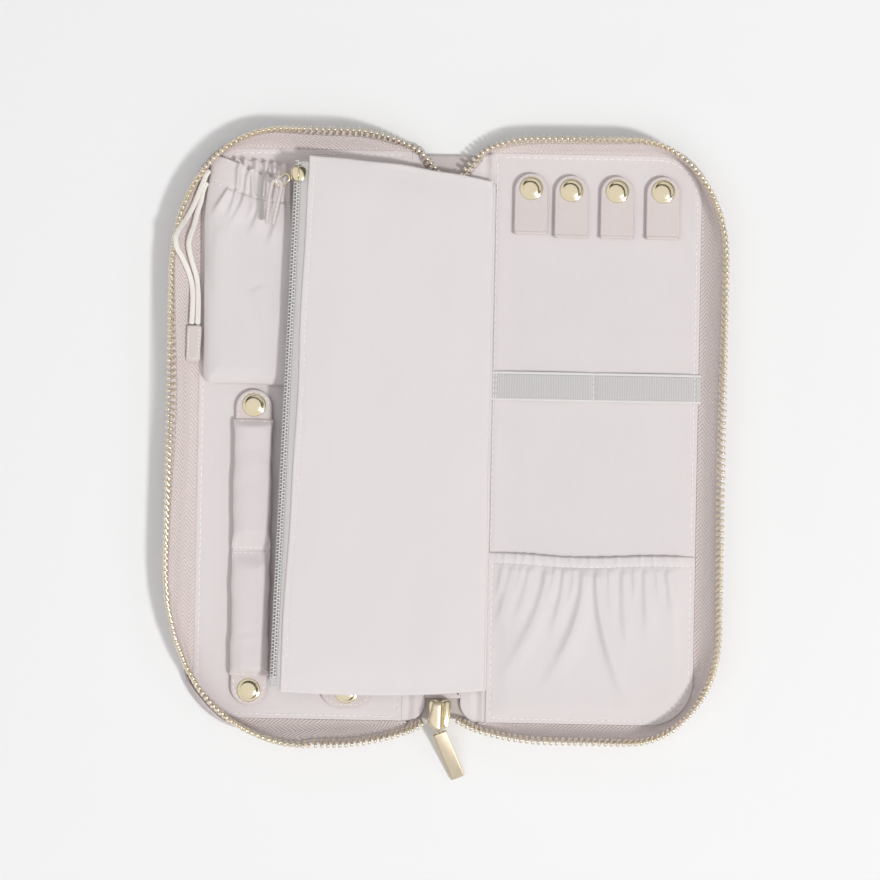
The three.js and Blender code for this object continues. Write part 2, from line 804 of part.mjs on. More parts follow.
// Padded ring strap in two lengths that meet at the middle stitch, each with its snapped tab
function addRingStrap(name, endY, studName) {
  const way = Math.sign(endY - strapStitchY);
  const start = strapStitchY + way * 0.25;
  const half = strapWidth / 2;
  const place = (u, v) => [strapX + half * (2 * u - 1), start + (endY - start) * v];
  const puff = (u, v) => {
    const side = 1 - Math.pow(Math.abs(2 * u - 1), 4);
    const end = smoothStep(Math.min(1, v / 0.3)) * smoothStep(Math.min(1, (1 - v) / 0.06));
    return Math.max(0.15, side) * end;
  };
  const top = (u, v) => strapThinZ + (strapThickZ - strapThinZ) * puff(u, v);
  const under = (u, v) => strapRestZ + (strapThinZ - strapRestZ - 1.4) * (1 - puff(u, v));
  add(name, pad(6, 10, place, under, top), "lining");
  const tabStart = endY + way * strapGap;
  const tabEnd = endY + way * strapTabReach;
  const capY = tabEnd - way * strapCapFromEnd;
  const low = floorZ + strapStudHeight + 0.05;
  const shape = tongueShape(strapX, strapTabWidth, tabStart, tabEnd, strapCapFromEnd);
  add(name + "_tab", plate(shape, low, low + strapLeather), "leather");
  add(name + "_cap", snapCap(strapX, capY, low + strapLeather, low - 0.02), "gold");
  add(studName, snapStud(strapX, capY, floorZ, strapStudHeight), "gold");
}

// Wide bracelet strap under the page, with its snapped tab at the lower end
function addBraceletStrap() {
  const half = braceletWidth / 2;
  const place = (u, v) => [
    braceletX + half * (2 * u - 1),
    braceletTopY + (braceletBottomY - braceletTopY) * v,
  ];
  const side = (u) => Math.max(0.2, 1 - Math.pow(Math.abs(2 * u - 1), 4));
  const top = (u) => floorZ + 1.2 + braceletPuff * side(u);
  add("bracelet_strap", pad(6, 6, place, () => floorZ + 0.3, top), "lining");
  const low = floorZ + strapStudHeight + 0.05;
  const tabEnd = braceletBottomY - braceletTabReach;
  const corner = braceletWidth * 0.34;
  const shape = roundedShape([
    [braceletX - half, braceletBottomY - strapGap, 0],
    [braceletX - half, tabEnd, corner],
    [braceletX + half, tabEnd, corner],
    [braceletX + half, braceletBottomY - strapGap, 0],
  ]);
  const capY = tabEnd + braceletCapFromEnd;
  const hole = new THREE.Path();
  hole.absarc(braceletX, capY, postR + postClearance, 0, 2 * Math.PI);
  shape.holes.push(hole);
  add("bracelet_strap_tab", plate(shape, low, low + strapLeather), "leather");
  add("bracelet_strap_cap", snapCap(braceletX, capY, low + strapLeather, low - 0.02), "gold");
  add("bracelet_strap_stud", snapStud(braceletX, capY, floorZ, strapStudHeight), "gold");
}

// Flat zipped page in its own tilted frame: X runs back from the hinge, so its free edge is at -X
function addPage() {
  const page = new THREE.Group();
  page.position.set(pageAxisX, 0, pageAxisZ);
  page.rotation.y = pageTilt * radians;
  part.add(page);
  const coilOuter = (y) => {
    const t = (coilTop[1] - y) / (coilTop[1] - coilBottom[1]);
    return -(coilTop[0] + (coilBottom[0] - coilTop[0]) * t);
  };
  const clothTop = coilOuter(pageTopY) + coilWidth + pageTapeTop;
  const clothBottom = coilOuter(pageBottomY) + coilWidth + pageTapeBottom;
  const cloth = new THREE.Shape();
  cloth.moveTo(-pageStart, pageRootBottomY);
  cloth.lineTo(-pageStart, pageRootTopY);
  cloth.quadraticCurveTo(clothTop * 0.45, pageTopY - 2.2, clothTop + 2, pageTopY);
  cloth.lineTo(clothTop, pageTopY - 2);
  cloth.lineTo(clothBottom, pageBottomY + 4);
  cloth.lineTo(clothBottom + 2.5, pageBottomY + 2);
  cloth.quadraticCurveTo(clothBottom * 0.45, pageBottomY - 1.2, -pageStart, pageRootBottomY);
  const half = pageGap / 2;
  add("page_front", plate(cloth, half, half + pageCloth, 10), "lining", page);
  add("page_back", plate(cloth, -half - pageCloth, -half, 10), "lining", page);

  const zipTop = pageTopY - 2.4;
  const zipBottom = pageBottomY + 4.2;
  const tape = new THREE.Shape([
    new THREE.Vector2(clothTop - clearance, zipTop),
    new THREE.Vector2(coilOuter(zipTop), zipTop),
    new THREE.Vector2(coilOuter(zipBottom), zipBottom),
    new THREE.Vector2(clothBottom - clearance, zipBottom),
  ]);
  add("page_zip_tape", plate(tape, -half - pageCloth, -half), "greyTape", page);
  const section = (y, edge) => {
    const x = coilOuter(y) + coilWidth / 2;
    const bulge = edge ? 0.8 : 1;
    return [0, 1, 2, 3, 4, 5].map((k) => {
      const angle = (k * 60 + 30) * radians;
      const reach = (coilWidth / 2) * bulge;
      const mid = half + coilThick / 2;
      return vec(x + reach * Math.cos(angle), y, mid + (coilThick / 2) * bulge * Math.sin(angle));
    });
  };
  const sections = [];
  for (let i = 0; i <= coilTurns; i++) {
    sections.push(section(zipTop + ((zipBottom - zipTop) * i) / coilTurns, i % 2 === 0));
  }
  add("page_zip_coil", loft(sections), "greyTape", page);

  // Slider: two plates joined outside the coil, so that it runs along the whole zip
  const outer = coilOuter(pageSliderY) - clearance;
  const reach = half + coilThick + clearance;
  const under = -half - pageCloth - clearance;
  const yLow = pageSliderY - pageSliderLength / 2;
  const yHigh = pageSliderY + pageSliderLength / 2;
  const inner = outer + pageSliderWidth;
  const slider = join(
    box([outer - pageSliderWall, yLow, reach], [inner, yHigh, reach + pageSliderWall]),
    box([outer - pageSliderWall, yLow, under - pageSliderWall], [inner, yHigh, under]),
    box([outer - pageSliderWall, yLow, under - 0.1], [outer, yHigh, reach + 0.1]),
    box([outer + 0.6, yLow + 1.6, reach + 0.4], [outer + 3.4, yHigh - 1.6, reach + 2.0]),
  );
  add("page_zip_slider", slider, "gold", page);

  const pipe = new THREE.CylinderGeometry(pipingR, pipingR, pageRootTopY - pageRootBottomY, 8);
  pipe.translate(0, (pageRootTopY + pageRootBottomY) / 2, 0);
  const flange = box(
    [-pipingFlange, pageRootBottomY + pipingR, -pipingR],
    [0, pageRootTopY - pipingR, pipingR],
  );
  add("page_piping", join(pipe, flange), "lining", page);
  const strip = box(
    [pageAxisX - pageStripThick / 2, pageRootBottomY, floorZ],
    [pageAxisX + pageStripThick / 2, pageRootTopY, pageAxisZ - pipingR - clearance],
  );
  add("page_root_strip", strip, "lining");
}

// A flat bar between two points, with its width level
function bar(from, to, width, thick) {
  const start = vec(...from);
  const end = vec(...to);
  const along = end.clone().sub(start);
  const length = along.length();
  along.normalize();
  const across = along.clone().cross(vec(0, 0, 1)).normalize();
  const up = across.clone().cross(along);
  const geometry = new THREE.BoxGeometry(width, length, thick);
  const turn = new THREE.Matrix4().makeBasis(across, along, up);
  turn.setPosition(start.lerp(end, 0.5));
  return geometry.applyMatrix4(turn);
}

function addPagePuller() {
  add("page_zip_link", bar(linkStart, linkEnd, linkWidth, linkThick), "gold");
  add("page_zip_pull", bar(pullStart, pullEnd, pullWidth, pullThick), "leather");
}

// Drawstring pouch lying flat, its mouth drawn towards the upper right
function addPouch() {
  const place = (u, v) => {
    const top = pouchTopY - mouthDropRight * u;
    const y = top + (pouchBottomY - top) * v;
    const drawn = Math.max(0, (y - pouchTopY + mouthLength) / mouthLength);
    const rounded = Math.max(0, (pouchBottomY + pouchCornerR - y) / pouchCornerR);
    const left = pouchLeftX + mouthInset * drawn * drawn;
    const leftX = left + pouchCornerR * (1 - Math.sqrt(1 - Math.min(1, rounded * rounded)));
    return [leftX + (pouchRightX - leftX) * u, y];
  };
  const swell = (u, v) => {
    const across = 1 - Math.pow(Math.abs(2 * u - 1), 5);
    const along = 1 - Math.pow(Math.abs(2 * v - 1), 8);
    return Math.max(0, across * along);
  };
  const middleZ = pouchRestZ + (pouchTopZ - pouchRestZ) * 0.42;
  const top = (u, v) => middleZ + 0.4 + (pouchTopZ - middleZ - 0.4) * swell(u, v);
  const under = (u, v) => middleZ - 0.4 - (middleZ - 0.4 - pouchRestZ) * Math.min(1, 3 * swell(u, v));
  add("pouch", pad(10, 12, place, under, top), "pouch");
}

// A flat cord through hand-placed points
function cord(points) {
  const curve = new THREE.CatmullRomCurve3(points.map((p) => vec(...p)), false, "centripetal");
  const section = new THREE.Shape();
  for (let i = 0; i < 8; i++) {
    const angle = ((i + 0.5) * Math.PI) / 4;
    const x = (cordThick / 2) * Math.cos(angle);
    const y = (cordWidth / 2) * Math.sin(angle);
    if (i === 0) section.moveTo(x, y);
    else section.lineTo(x, y);
  }
  section.closePath();
  const steps = Math.ceil(curve.getLength() / (cordWidth * 1.5));
  return new THREE.ExtrudeGeometry(section, { extrudePath: curve, steps, bevelEnabled: false });
}

function addDrawstring() {
  add("drawstring_a", cord(cordA), "cord");
  add("drawstring_b", cord(cordB), "cord");
  const tab = roundedShape([
    [-endTabWidth / 2, -endTabLength, 2.2],
    [endTabWidth / 2, -endTabLength, 2.2],
    [endTabWidth / 2, 0, 1],
    [-endTabWidth / 2, 0, 1],
  ]);
  const mesh = add("drawstring_end_tab", plate(tab, 0, endTabThick, 3), "leather");
  mesh.position.set(...endTabTop);
  mesh.rotation.z = endTabTurn * radians;
}

for (const [side, sign] of [["right", 1], ["left", -1]]) {
  addHalf(side, sign);
  addWall(side, sign);
}
addSpine();
addZipEnd("zip_end_top_right", "right", 1, true, zipEndFromX, zipEndTopX);
addZipEnd("zip_end_top_left", "left", -1, true, zipEndFromX, zipEndTopX);
addZipEnd("zip_end_bottom_right", "right", 1, false, zipEndFromX, zipEndBottomRightX);
addZipEnd("zip_end_bottom_left", "left", -1, false, zipEndBottomFromX, zipEndBottomLeftX);
addMainSlider();
addNecklaceTabs();
addElasticBand();
addPocket();
addRingStrap("ring_strap_upper", strapTopY, "ring_strap_upper_stud");
addRingStrap("ring_strap_lower", strapBottomY, "ring_strap_lower_stud");
addBraceletStrap();
addPage();
addPagePuller();
addPouch();
addDrawstring();

export default part;
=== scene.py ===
"""Looks of a soft zip case for small valuables, lying open and seen from above."""
import math
import random

import bpy
import numpy as np
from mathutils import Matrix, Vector


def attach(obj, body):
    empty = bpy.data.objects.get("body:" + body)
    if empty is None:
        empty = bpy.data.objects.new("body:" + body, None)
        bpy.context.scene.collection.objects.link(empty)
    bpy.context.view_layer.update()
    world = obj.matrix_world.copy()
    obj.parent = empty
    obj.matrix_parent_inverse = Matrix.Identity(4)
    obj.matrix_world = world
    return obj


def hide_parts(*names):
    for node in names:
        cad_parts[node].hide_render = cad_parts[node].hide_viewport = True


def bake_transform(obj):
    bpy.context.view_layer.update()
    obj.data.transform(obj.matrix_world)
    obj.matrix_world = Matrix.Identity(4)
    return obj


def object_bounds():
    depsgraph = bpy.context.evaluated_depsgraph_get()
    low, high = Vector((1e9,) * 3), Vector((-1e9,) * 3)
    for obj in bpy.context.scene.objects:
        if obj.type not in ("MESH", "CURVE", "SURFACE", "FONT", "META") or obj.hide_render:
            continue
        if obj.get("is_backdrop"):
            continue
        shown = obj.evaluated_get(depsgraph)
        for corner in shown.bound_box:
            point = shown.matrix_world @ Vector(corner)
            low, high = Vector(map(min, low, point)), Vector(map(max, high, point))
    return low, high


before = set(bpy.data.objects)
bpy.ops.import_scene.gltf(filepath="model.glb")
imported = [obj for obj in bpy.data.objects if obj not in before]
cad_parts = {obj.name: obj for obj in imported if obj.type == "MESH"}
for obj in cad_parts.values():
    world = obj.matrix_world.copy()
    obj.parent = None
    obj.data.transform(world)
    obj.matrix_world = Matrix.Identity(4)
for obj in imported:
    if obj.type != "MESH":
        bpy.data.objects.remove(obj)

cad_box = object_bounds()
MM = 0.001

# Camera: straight down, turned a little, as the photograph is
CAMERA_AT = (-0.0032, -0.00144, 1.051)
CAMERA_TURN = math.radians(1.1)
LENS_MM = 100
SENSOR_MM = 36


def add_camera():
    data = bpy.data.cameras.new("camera")
    data.lens = LENS_MM
    data.sensor_width = SENSOR_MM
    camera = bpy.data.objects.new("camera", data)
    camera.location = CAMERA_AT
    camera.rotation_euler = (0, 0, CAMERA_TURN)
    bpy.context.scene.collection.objects.link(camera)
    bpy.context.scene.camera = camera


add_camera()


# Geometry helpers: all of them work in millimetres and make closed meshes
def smooth_step(t):
    u = np.clip(t, 0, 1)
    return u * u * (3 - 2 * u)


def bell(t):
    return np.exp(-np.square(t))


def bezier(a, b, c, t):
    return (1 - t) ** 2 * a + 2 * t * (1 - t) * b + t * t * c


def unit(v):
    v = np.asarray(v, float)
    return v / np.maximum(np.linalg.norm(v, axis=-1, keepdims=True), 1e-9)


def stack(*coords):
    """Points from coordinates that may be numbers, lines or grids."""
    return np.stack(np.broadcast_arrays(*coords), axis=-1).astype(float)


def piece(name, made, body, slot, replaced=None, look=None, uvs=None):
    """One smooth-shaded object that rides on a body, or on none."""
    verts, faces = made
    mesh = bpy.data.meshes.new(name)
    mesh.from_pydata([tuple(c * MM for c in v) for v in verts], [], [tuple(f) for f in faces])
    mesh.materials.append(LOOK[look or slot])
    mesh.polygons.foreach_set("use_smooth", [True] * len(mesh.polygons))
    if uvs is not None:
        layer = mesh.uv_layers.new(name="UVMap")
        flat = np.asarray(uvs, np.float32)[[v for f in faces for v in f]] * MM
        layer.data.foreach_set("uv", flat.ravel())
    obj = bpy.data.objects.new(name, mesh)
    bpy.context.scene.collection.objects.link(obj)
    if body:
        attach(obj, body)
    if replaced:
        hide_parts(replaced)
    return obj


def apply_modifiers(obj):
    """Puts the result of an object's modifiers into its mesh."""
    graph = bpy.context.evaluated_depsgraph_get()
    graph.update()
    mesh = bpy.data.meshes.new_from_object(obj.evaluated_get(graph))
    obj.modifiers.clear()
    obj.data = mesh


def subdivide(obj):
    modifier = obj.modifiers.new("subdivide", "SUBSURF")
    modifier.levels = modifier.render_levels = 1
    apply_modifiers(obj)


def outward(verts, faces):
    """Turns the faces of a closed mesh so that they point out."""
    fans = np.array([(f[0], b, c) for f in faces for b, c in zip(f[1:-1], f[2:])])
    a, b, c = (verts[fans[:, k]] for k in range(3))
    if np.einsum("ij,ij->", a, np.cross(b, c)) > 0:
        return faces
    return [tuple(reversed(f)) for f in faces]


def closed_grid(top, low):
    """Closed body between two grids of points."""
    rows, cols = top.shape[:2]
    under = rows * cols
    at = np.arange(under).reshape(rows, cols)
    quads = np.stack([at[:-1, :-1], at[:-1, 1:], at[1:, 1:], at[1:, :-1]], axis=-1).reshape(-1, 4)
    rim = np.concatenate([at[0], at[1:, -1], at[-1, -2::-1], at[-2:0:-1, 0]])
    after = np.roll(rim, -1)
    sides = np.stack([after, rim, under + rim, under + after], axis=-1)
    faces = [tuple(f) for f in np.concatenate([quads, under + quads[:, ::-1], sides]).tolist()]
    verts = np.concatenate([top.reshape(-1, 3), low.reshape(-1, 3)])
    return verts, outward(verts, faces)


def slab(top, thick):
    """Closed sheet under a grid of points."""
    normal = unit(np.cross(np.gradient(top, axis=1), np.gradient(top, axis=0)))
    if normal[..., 2].mean() < 0:
        normal = -normal
    return closed_grid(top, top - normal * thick)


def grid(u_count, v_count, place):
    """Grid of points from place(u, v) with u across and v down, both from 0 to 1."""
    return stack(*place(*np.meshgrid(np.linspace(0, 1, u_count + 1), np.linspace(0, 1, v_count + 1))))


def loft(sections, closed=False):
    """Closed body through rings of points, with flat ends unless it closes on itself."""
    sections = np.asarray(sections, float)
    rings, count = sections.shape[:2]
    verts = sections.reshape(-1, 3)
    faces = []
    for j in range(rings if closed else rings - 1):
        a, b = j * count, ((j + 1) % rings) * count
        for i in range(count):
            k = (i + 1) % count
            faces.append((a + i, a + k, b + k, b + i))
    if not closed:
        faces.append(tuple(range(count - 1, -1, -1)))
        faces.append(tuple((rings - 1) * count + i for i in range(count)))
    return verts, outward(verts, faces)


def joined(parts):
    """Several meshes as one list of points and faces."""
    faces, start = [], 0
    for v, f in parts:
        faces += [tuple(start + k for k in face) for face in f]
        start += len(v)
    return np.concatenate([v for v, _ in parts]), faces


def running_length(line):
    return np.concatenate([[0], np.cumsum(np.linalg.norm(np.diff(line, axis=0), axis=1))])


def even_points(line, step):
    """The same line through points at even steps."""
    line = np.asarray(line, float)
    lengths = running_length(line)
    at = np.linspace(0, lengths[-1], max(2, int(round(lengths[-1] / step)) + 1))
    return np.stack([np.interp(at, lengths, line[:, k]) for k in range(3)], axis=-1)


def curve_points(points, step):
    """Even points on a smooth curve through given points."""
    p = np.asarray(points, float)
    p = np.concatenate([[2 * p[0] - p[1]], p, [2 * p[-1] - p[-2]]])
    out = []
    for i in range(1, len(p) - 2):
        p0, p1, p2, p3 = p[i - 1:i + 3]
        knots = np.cumsum([0] + [np.linalg.norm(b - a) ** 0.5 for a, b in ((p0, p1), (p1, p2), (p2, p3))])
        between = lambda a, b, j, k: a + (b - a) * (t - knots[j]) / (knots[k] - knots[j])
        for t in np.linspace(knots[1], knots[2], 24, endpoint=False):
            a2 = between(p1, p2, 1, 2)
            b1 = between(between(p0, p1, 0, 1), a2, 0, 2)
            out.append(between(b1, between(a2, between(p2, p3, 2, 3), 1, 3), 1, 2))
    return even_points(out + [p[-2]], step)


def sweep(line, section, up=(0, 0, 1), size=1.0):
    """Closed tube along a line: section is (across, up) pairs, size scales it at each point."""
    line = np.asarray(line, float)
    forward = unit(np.gradient(line, axis=0))
    across = unit(np.cross(forward, np.broadcast_to(up, forward.shape)))
    lift = np.cross(across, forward)
    ring = across[:, None] * section[:, :1] + lift[:, None] * section[:, 1:]
    return loft(line[:, None] + ring * np.broadcast_to(size, len(line))[:, None, None])


def super_ellipse(count, powers, start=0.0):
    """Points round a rounded box one unit in radius, squarer as the powers shrink."""
    angle = 2 * np.pi * (np.arange(count) + start) / count
    ring = np.stack([np.cos(angle), np.sin(angle)], axis=-1)
    return np.copysign(np.abs(ring) ** powers, ring)


def round_section(width, height, count=10, power=2.0):
    """Ring of points of a rounded section, fuller as the power grows."""
    return super_ellipse(count, 2 / power, 0.5) * (width / 2, height / 2)


# Each bead of a stitch: place along it, and its radius there
BEAD = ((-0.5, 0.35), (-0.38, 0.85), (0, 1), (0.38, 0.85), (0.5, 0.35))


def stitches(line, pitch, long, wide):
    """Row of thread stitches that lie along a line: short rounded beads of thread."""
    total = running_length(line)[-1]
    count = max(1, int(total / pitch))
    dense = even_points(line, total / (count * 8))
    around = np.pi * (2 * np.arange(6)[:, None] + 1) / 6
    parts = []
    for k in range(count):
        a = dense[min(k * 8, len(dense) - 1)]
        b = dense[min(k * 8 + 7, len(dense) - 1)]
        forward = unit(b - a)
        side = unit(np.cross(forward, (0, 0, 1)))
        rise = np.cross(side, forward)
        round_it = (side * np.cos(around) + rise * np.sin(around) * 0.7) * wide / 2
        parts.append(loft([(a + b) / 2 + forward * t * long + rise * 0.12 * wide * (r - 1) + round_it * r
                           for t, r in BEAD]))
    return joined(parts)


def sew(name, body, slot, *rows):
    """Rows of stitches as one piece: each is its line, and its pitch, length and width of stitch."""
    return piece(name, joined([stitches(*row) for row in rows]), body, slot, look="thread")


# Materials: a small wrapper round a node tree, then one function for each kind of surface
def linear(colour):
    """sRGB values from 0 to 255 as linear ones."""
    c = np.array(colour) / 255
    return (*np.where(c <= 0.04045, c / 12.92, ((c + 0.055) / 1.055) ** 2.4).tolist(), 1.0)


class Surface:
    def __init__(self, name, colour, roughness=0.6, metallic=0.0, specular=0.4, sheen=0.0):
        self.material = bpy.data.materials.new(name)
        self.material.use_nodes = True
        self.tree = self.material.node_tree
        self.inputs = self.tree.nodes["Principled BSDF"].inputs
        self.colour = linear(colour)
        self.material.diffuse_color = self.colour
        for socket, value in (("Base Color", self.colour), ("Roughness", roughness),
                              ("Metallic", metallic), ("Specular IOR Level", specular),
                              ("Sheen Weight", sheen)):
            self.inputs[socket].default_value = value

    def set(self, socket, value):
        if isinstance(value, bpy.types.NodeSocket):
            self.tree.links.new(value, socket)
        else:
            socket.default_value = value

    def node(self, kind, **values):
        node = self.tree.nodes.new("ShaderNode" + kind)
        for key, value in values.items():
            if key.startswith("in_"):
                self.set(node.inputs[key[3:]], value)
            else:
                setattr(node, key, value)
        return node

    def math(self, operation, a, b, clamp=False):
        node = self.node("Math", operation=operation, use_clamp=clamp)
        self.set(node.inputs[0], a)
        self.set(node.inputs[1], b)
        return node.outputs[0]

    def scaled(self, value, factor, clamp=False):
        return self.math("MULTIPLY", value, factor, clamp)

    def sum(self, *terms):
        """Sum of (value, factor) pairs."""
        out = self.scaled(*terms[0])
        for term in terms[1:]:
            out = self.math("ADD", out, self.scaled(*term))
        return out

    def place(self, turn=0.0, stretch=(1, 1, 1)):
        """Position on the object in metres, turned about Z and stretched."""
        coords = self.node("TexCoord").outputs["Object"]
        return self.node("Mapping", in_Vector=coords, in_Rotation=(0, 0, turn),
                         in_Scale=stretch).outputs[0]

    def axes(self, place):
        return self.node("SeparateXYZ", in_Vector=place).outputs

    def noise(self, place, size_mm, detail=2.0, rough=0.5):
        return self.node("TexNoise", in_Vector=place, in_Scale=1 / (size_mm * MM), in_Detail=detail,
                         in_Roughness=rough).outputs[0]

    def cells(self, place, size_mm, feature):
        return self.node("TexVoronoi", in_Vector=place, in_Scale=1 / (size_mm * MM),
                         feature=feature).outputs["Distance"]

    def stripes(self, along, period_mm):
        """Smooth 0 to 1 waves along a coordinate in metres."""
        wave = self.math("SINE", self.scaled(along, 2 * math.pi / (period_mm * MM)), 0.0)
        return self.math("ADD", self.scaled(wave, 0.5), 0.5)

    def tint(self, amount, dark, light):
        """Colour that runs from a darker to a lighter shade of the surface's own."""
        node = self.node("Mix", data_type="RGBA", in_Factor=amount)
        for k, level in ((6, dark), (7, light)):
            node.inputs[k].default_value = (*[min(1, c * level) for c in self.colour[:3]], 1)
        return node.outputs[2]

    def bump(self, height, depth_mm, strength=1.0, under=None):
        node = self.node("Bump", in_Height=height, in_Distance=depth_mm * MM, in_Strength=strength)
        if under is not None:
            self.set(node.inputs["Normal"], under)
        return node.outputs[0]

    def use(self, colour, normal=None, roughness=None):
        for socket, value in (("Base Color", colour), ("Normal", normal), ("Roughness", roughness)):
            if value is not None:
                self.set(self.inputs[socket], value)
        return self.material


def woven_cloth(name, colour, roughness=0.72, sheen=0.25, cloud=0.025):
    """Fine plain weave with soft uneven shading, as on lining and pocket cloth."""
    s = Surface(name, colour, roughness, specular=0.25, sheen=sheen)
    s.inputs["Sheen Roughness"].default_value = 0.4
    place = s.place()
    axes = s.axes(place)
    weave = s.math("MULTIPLY", s.stripes(axes[0], 0.34), s.stripes(axes[1], 0.34))
    fuzz = s.noise(place, 0.5, 3)
    slub = s.noise(s.place(stretch=(1, 0.12, 1)), 1.6)
    amount = s.sum((s.noise(place, 26), 0.5), (slub, 0.5))
    pucker = s.bump(s.noise(place, 7), 0.35, 0.35)
    return s.use(s.tint(amount, 1 - cloud, 1 + cloud),
                 s.bump(s.sum((weave, 0.6), (fuzz, 0.8)), 0.05, 0.7, pucker),
                 s.math("ADD", s.scaled(fuzz, 0.12), roughness - 0.06))


def grained_leather(name, colour, grain_mm, depth, turn=0.5, stretch=1.0):
    """Pebbled or cross-hatched leather, darker in its creases."""
    s = Surface(name, colour, 0.5, specular=0.42, sheen=0.05)
    place = s.place(turn, (1.0, stretch, 1.0))
    pebble = s.cells(place, grain_mm, "SMOOTH_F1")
    crease = s.cells(place, grain_mm, "DISTANCE_TO_EDGE")
    fine = s.noise(place, 0.4, 4, 0.6)
    height = s.math("ADD", s.scaled(crease, 1.4, True), s.scaled(fine, 0.35))
    tone = s.sum((s.scaled(crease, 2.6, True), 0.7), (s.noise(s.place(), 16, 3), 0.3))
    return s.use(s.tint(tone, 0.93, 1.03), s.bump(height, depth, 0.8),
                 s.math("ADD", s.scaled(pebble, 0.25), 0.42))


def herringbone_tape(name, colour, column_mm=3.1, thread_mm=1.75, depth=0.26):
    """Woven zip tape: slanting threads that turn back in each column."""
    s = Surface(name, colour, 0.75, specular=0.25, sheen=0.2)
    along, across = s.axes(s.node("UVMap", uv_map="UVMap").outputs[0])[:2]
    column = s.math("PINGPONG", across, column_mm * MM)
    slant = s.math("ADD", along, s.scaled(column, 1.15))
    ridge = s.math("POWER", s.stripes(slant, thread_mm), 0.7)
    edge = s.scaled(column, 1 / (column_mm * MM), True)
    height = s.sum((ridge, 0.8), (s.noise(s.place(), 0.45, 3), 0.4))
    return s.use(s.tint(s.sum((ridge, 0.8), (edge, 0.2)), 0.82, 1.06), s.bump(height, depth))


def ribbed_elastic(name, colour, middle_mm=22.3, half_mm=5.0):
    """Woven elastic: fine ribs across the band, between two smoother selvedges."""
    s = Surface(name, colour, 0.66, specular=0.3, sheen=0.15)
    axes = s.axes(s.place())
    away = s.math("ABSOLUTE", s.math("SUBTRACT", axes[1], middle_mm * MM), 0.0)
    past = s.math("SUBTRACT", away, half_mm * MM)
    selvedge = s.scaled(past, 4000.0, True)
    groove = s.math("SUBTRACT", 1.0, s.scaled(s.math("ABSOLUTE", past, 0.0), 3500.0, True))
    ribs = s.math("MULTIPLY", s.stripes(axes[0], 1.05), s.math("SUBTRACT", 1.0, selvedge))
    body = s.sum((ribs, 0.7), (s.stripes(axes[1], 0.55), 0.2))
    height = s.sum((body, 1.0), (s.noise(s.place(), 0.5), 0.25), (groove, -0.8))
    # The darker tone in the groove between each selvedge and the ribs is painted shade
    tone = s.math("SUBTRACT", s.sum((body, 0.75), (selvedge, 0.7)), s.scaled(groove, 0.7), True)
    return s.use(s.tint(tone, 0.86, 1.10), s.bump(height, 0.12, 0.9))


def polished_metal(name, colour, roughness):
    """Plated metal with faint hairlines and softer patches."""
    s = Surface(name, colour, roughness, metallic=1.0, specular=0.5)
    broad = s.noise(s.place(), 3.0, 3)
    hair = s.noise(s.place(0.6, (1, 14, 1)), 0.9)
    rough = s.math("ADD", s.sum((broad, 0.096), (hair, 0.064)), roughness - 0.06)
    return s.use(s.tint(broad, 0.97, 1.02), s.bump(hair, 0.02, 0.05), rough)


def fibrous(name, colour, roughness, specular, sheen, grain, shades, relief, place=(0.0,)):
    """Surface of one fine grain: cord, thread, nylon or board."""
    s = Surface(name, colour, roughness, specular=specular, sheen=sheen)
    fibre = s.noise(s.place(*place), *grain)
    return s.use(s.tint(fibre, *shades), s.bump(fibre, *relief))


def sewing_thread(name, colour):
    return fibrous(name, colour, 0.6, 0.3, 0.3, (0.22,), (0.93, 1.03), (0.06, 0.7), (0.7, (1, 3, 1)))


LOOK = {
    "shell": grained_leather("shell_leather", (206, 196, 194), 0.8, 0.08),
    "lining": woven_cloth("lining_cloth", (226, 219, 219)),
    "page": woven_cloth("page_cloth", (229, 222, 222), cloud=0.02),
    "pocket": woven_cloth("pocket_cloth", (226, 219, 219), 0.62, 0.35),
    "strap": woven_cloth("strap_cloth", (226, 218, 218)),
    "pouch": woven_cloth("pouch_cloth", (227, 220, 220), 0.62, 0.4),
    "zip_tape": herringbone_tape("zip_tape_weave", (230, 217, 214)),
    "leather": grained_leather("tab_leather", (224, 213, 210), 0.75, 0.16, 0.9, 1.7),
    "gold": polished_metal("pale_gold", (242, 228, 196), 0.12),
    "gold_teeth": polished_metal("tooth_gold", (246, 235, 214), 0.3),
    "gold_dark": polished_metal("brushed_gold", (231, 216, 190), 0.34),
    "elastic": ribbed_elastic("elastic_weave", (209, 206, 205)),
    "selvedge": sewing_thread("elastic_selvedge", (229, 227, 225)),
    "grey_tape": herringbone_tape("grey_tape_weave", (211, 209, 207), 1.6, 0.8, 0.08),
    "grey_coil": fibrous("coil_nylon", (234, 232, 230), 0.35, 0.5, 0.0, (0.6,), (0.95, 1.03),
                         (0.02, 0.3)),
    "cord": fibrous("suede_cord", (242, 238, 231), 0.85, 0.15, 0.5, (0.35, 4, 0.7), (0.93, 1.03),
                    (0.12, 0.6)),
    # Filler cord under the coil: its dark grey is painted shade for the gaps between the loops
    "coil_filler_and_shade": sewing_thread("coil_filler_and_shade", (138, 136, 134)),
    "thread": sewing_thread("stitch_thread", (250, 247, 245)),
    "board": fibrous("board_core", (140, 138, 136), 0.9, 0.2, 0.0, (0.8, 4), (0.9, 1.05), (0.1, 0.5)),
}


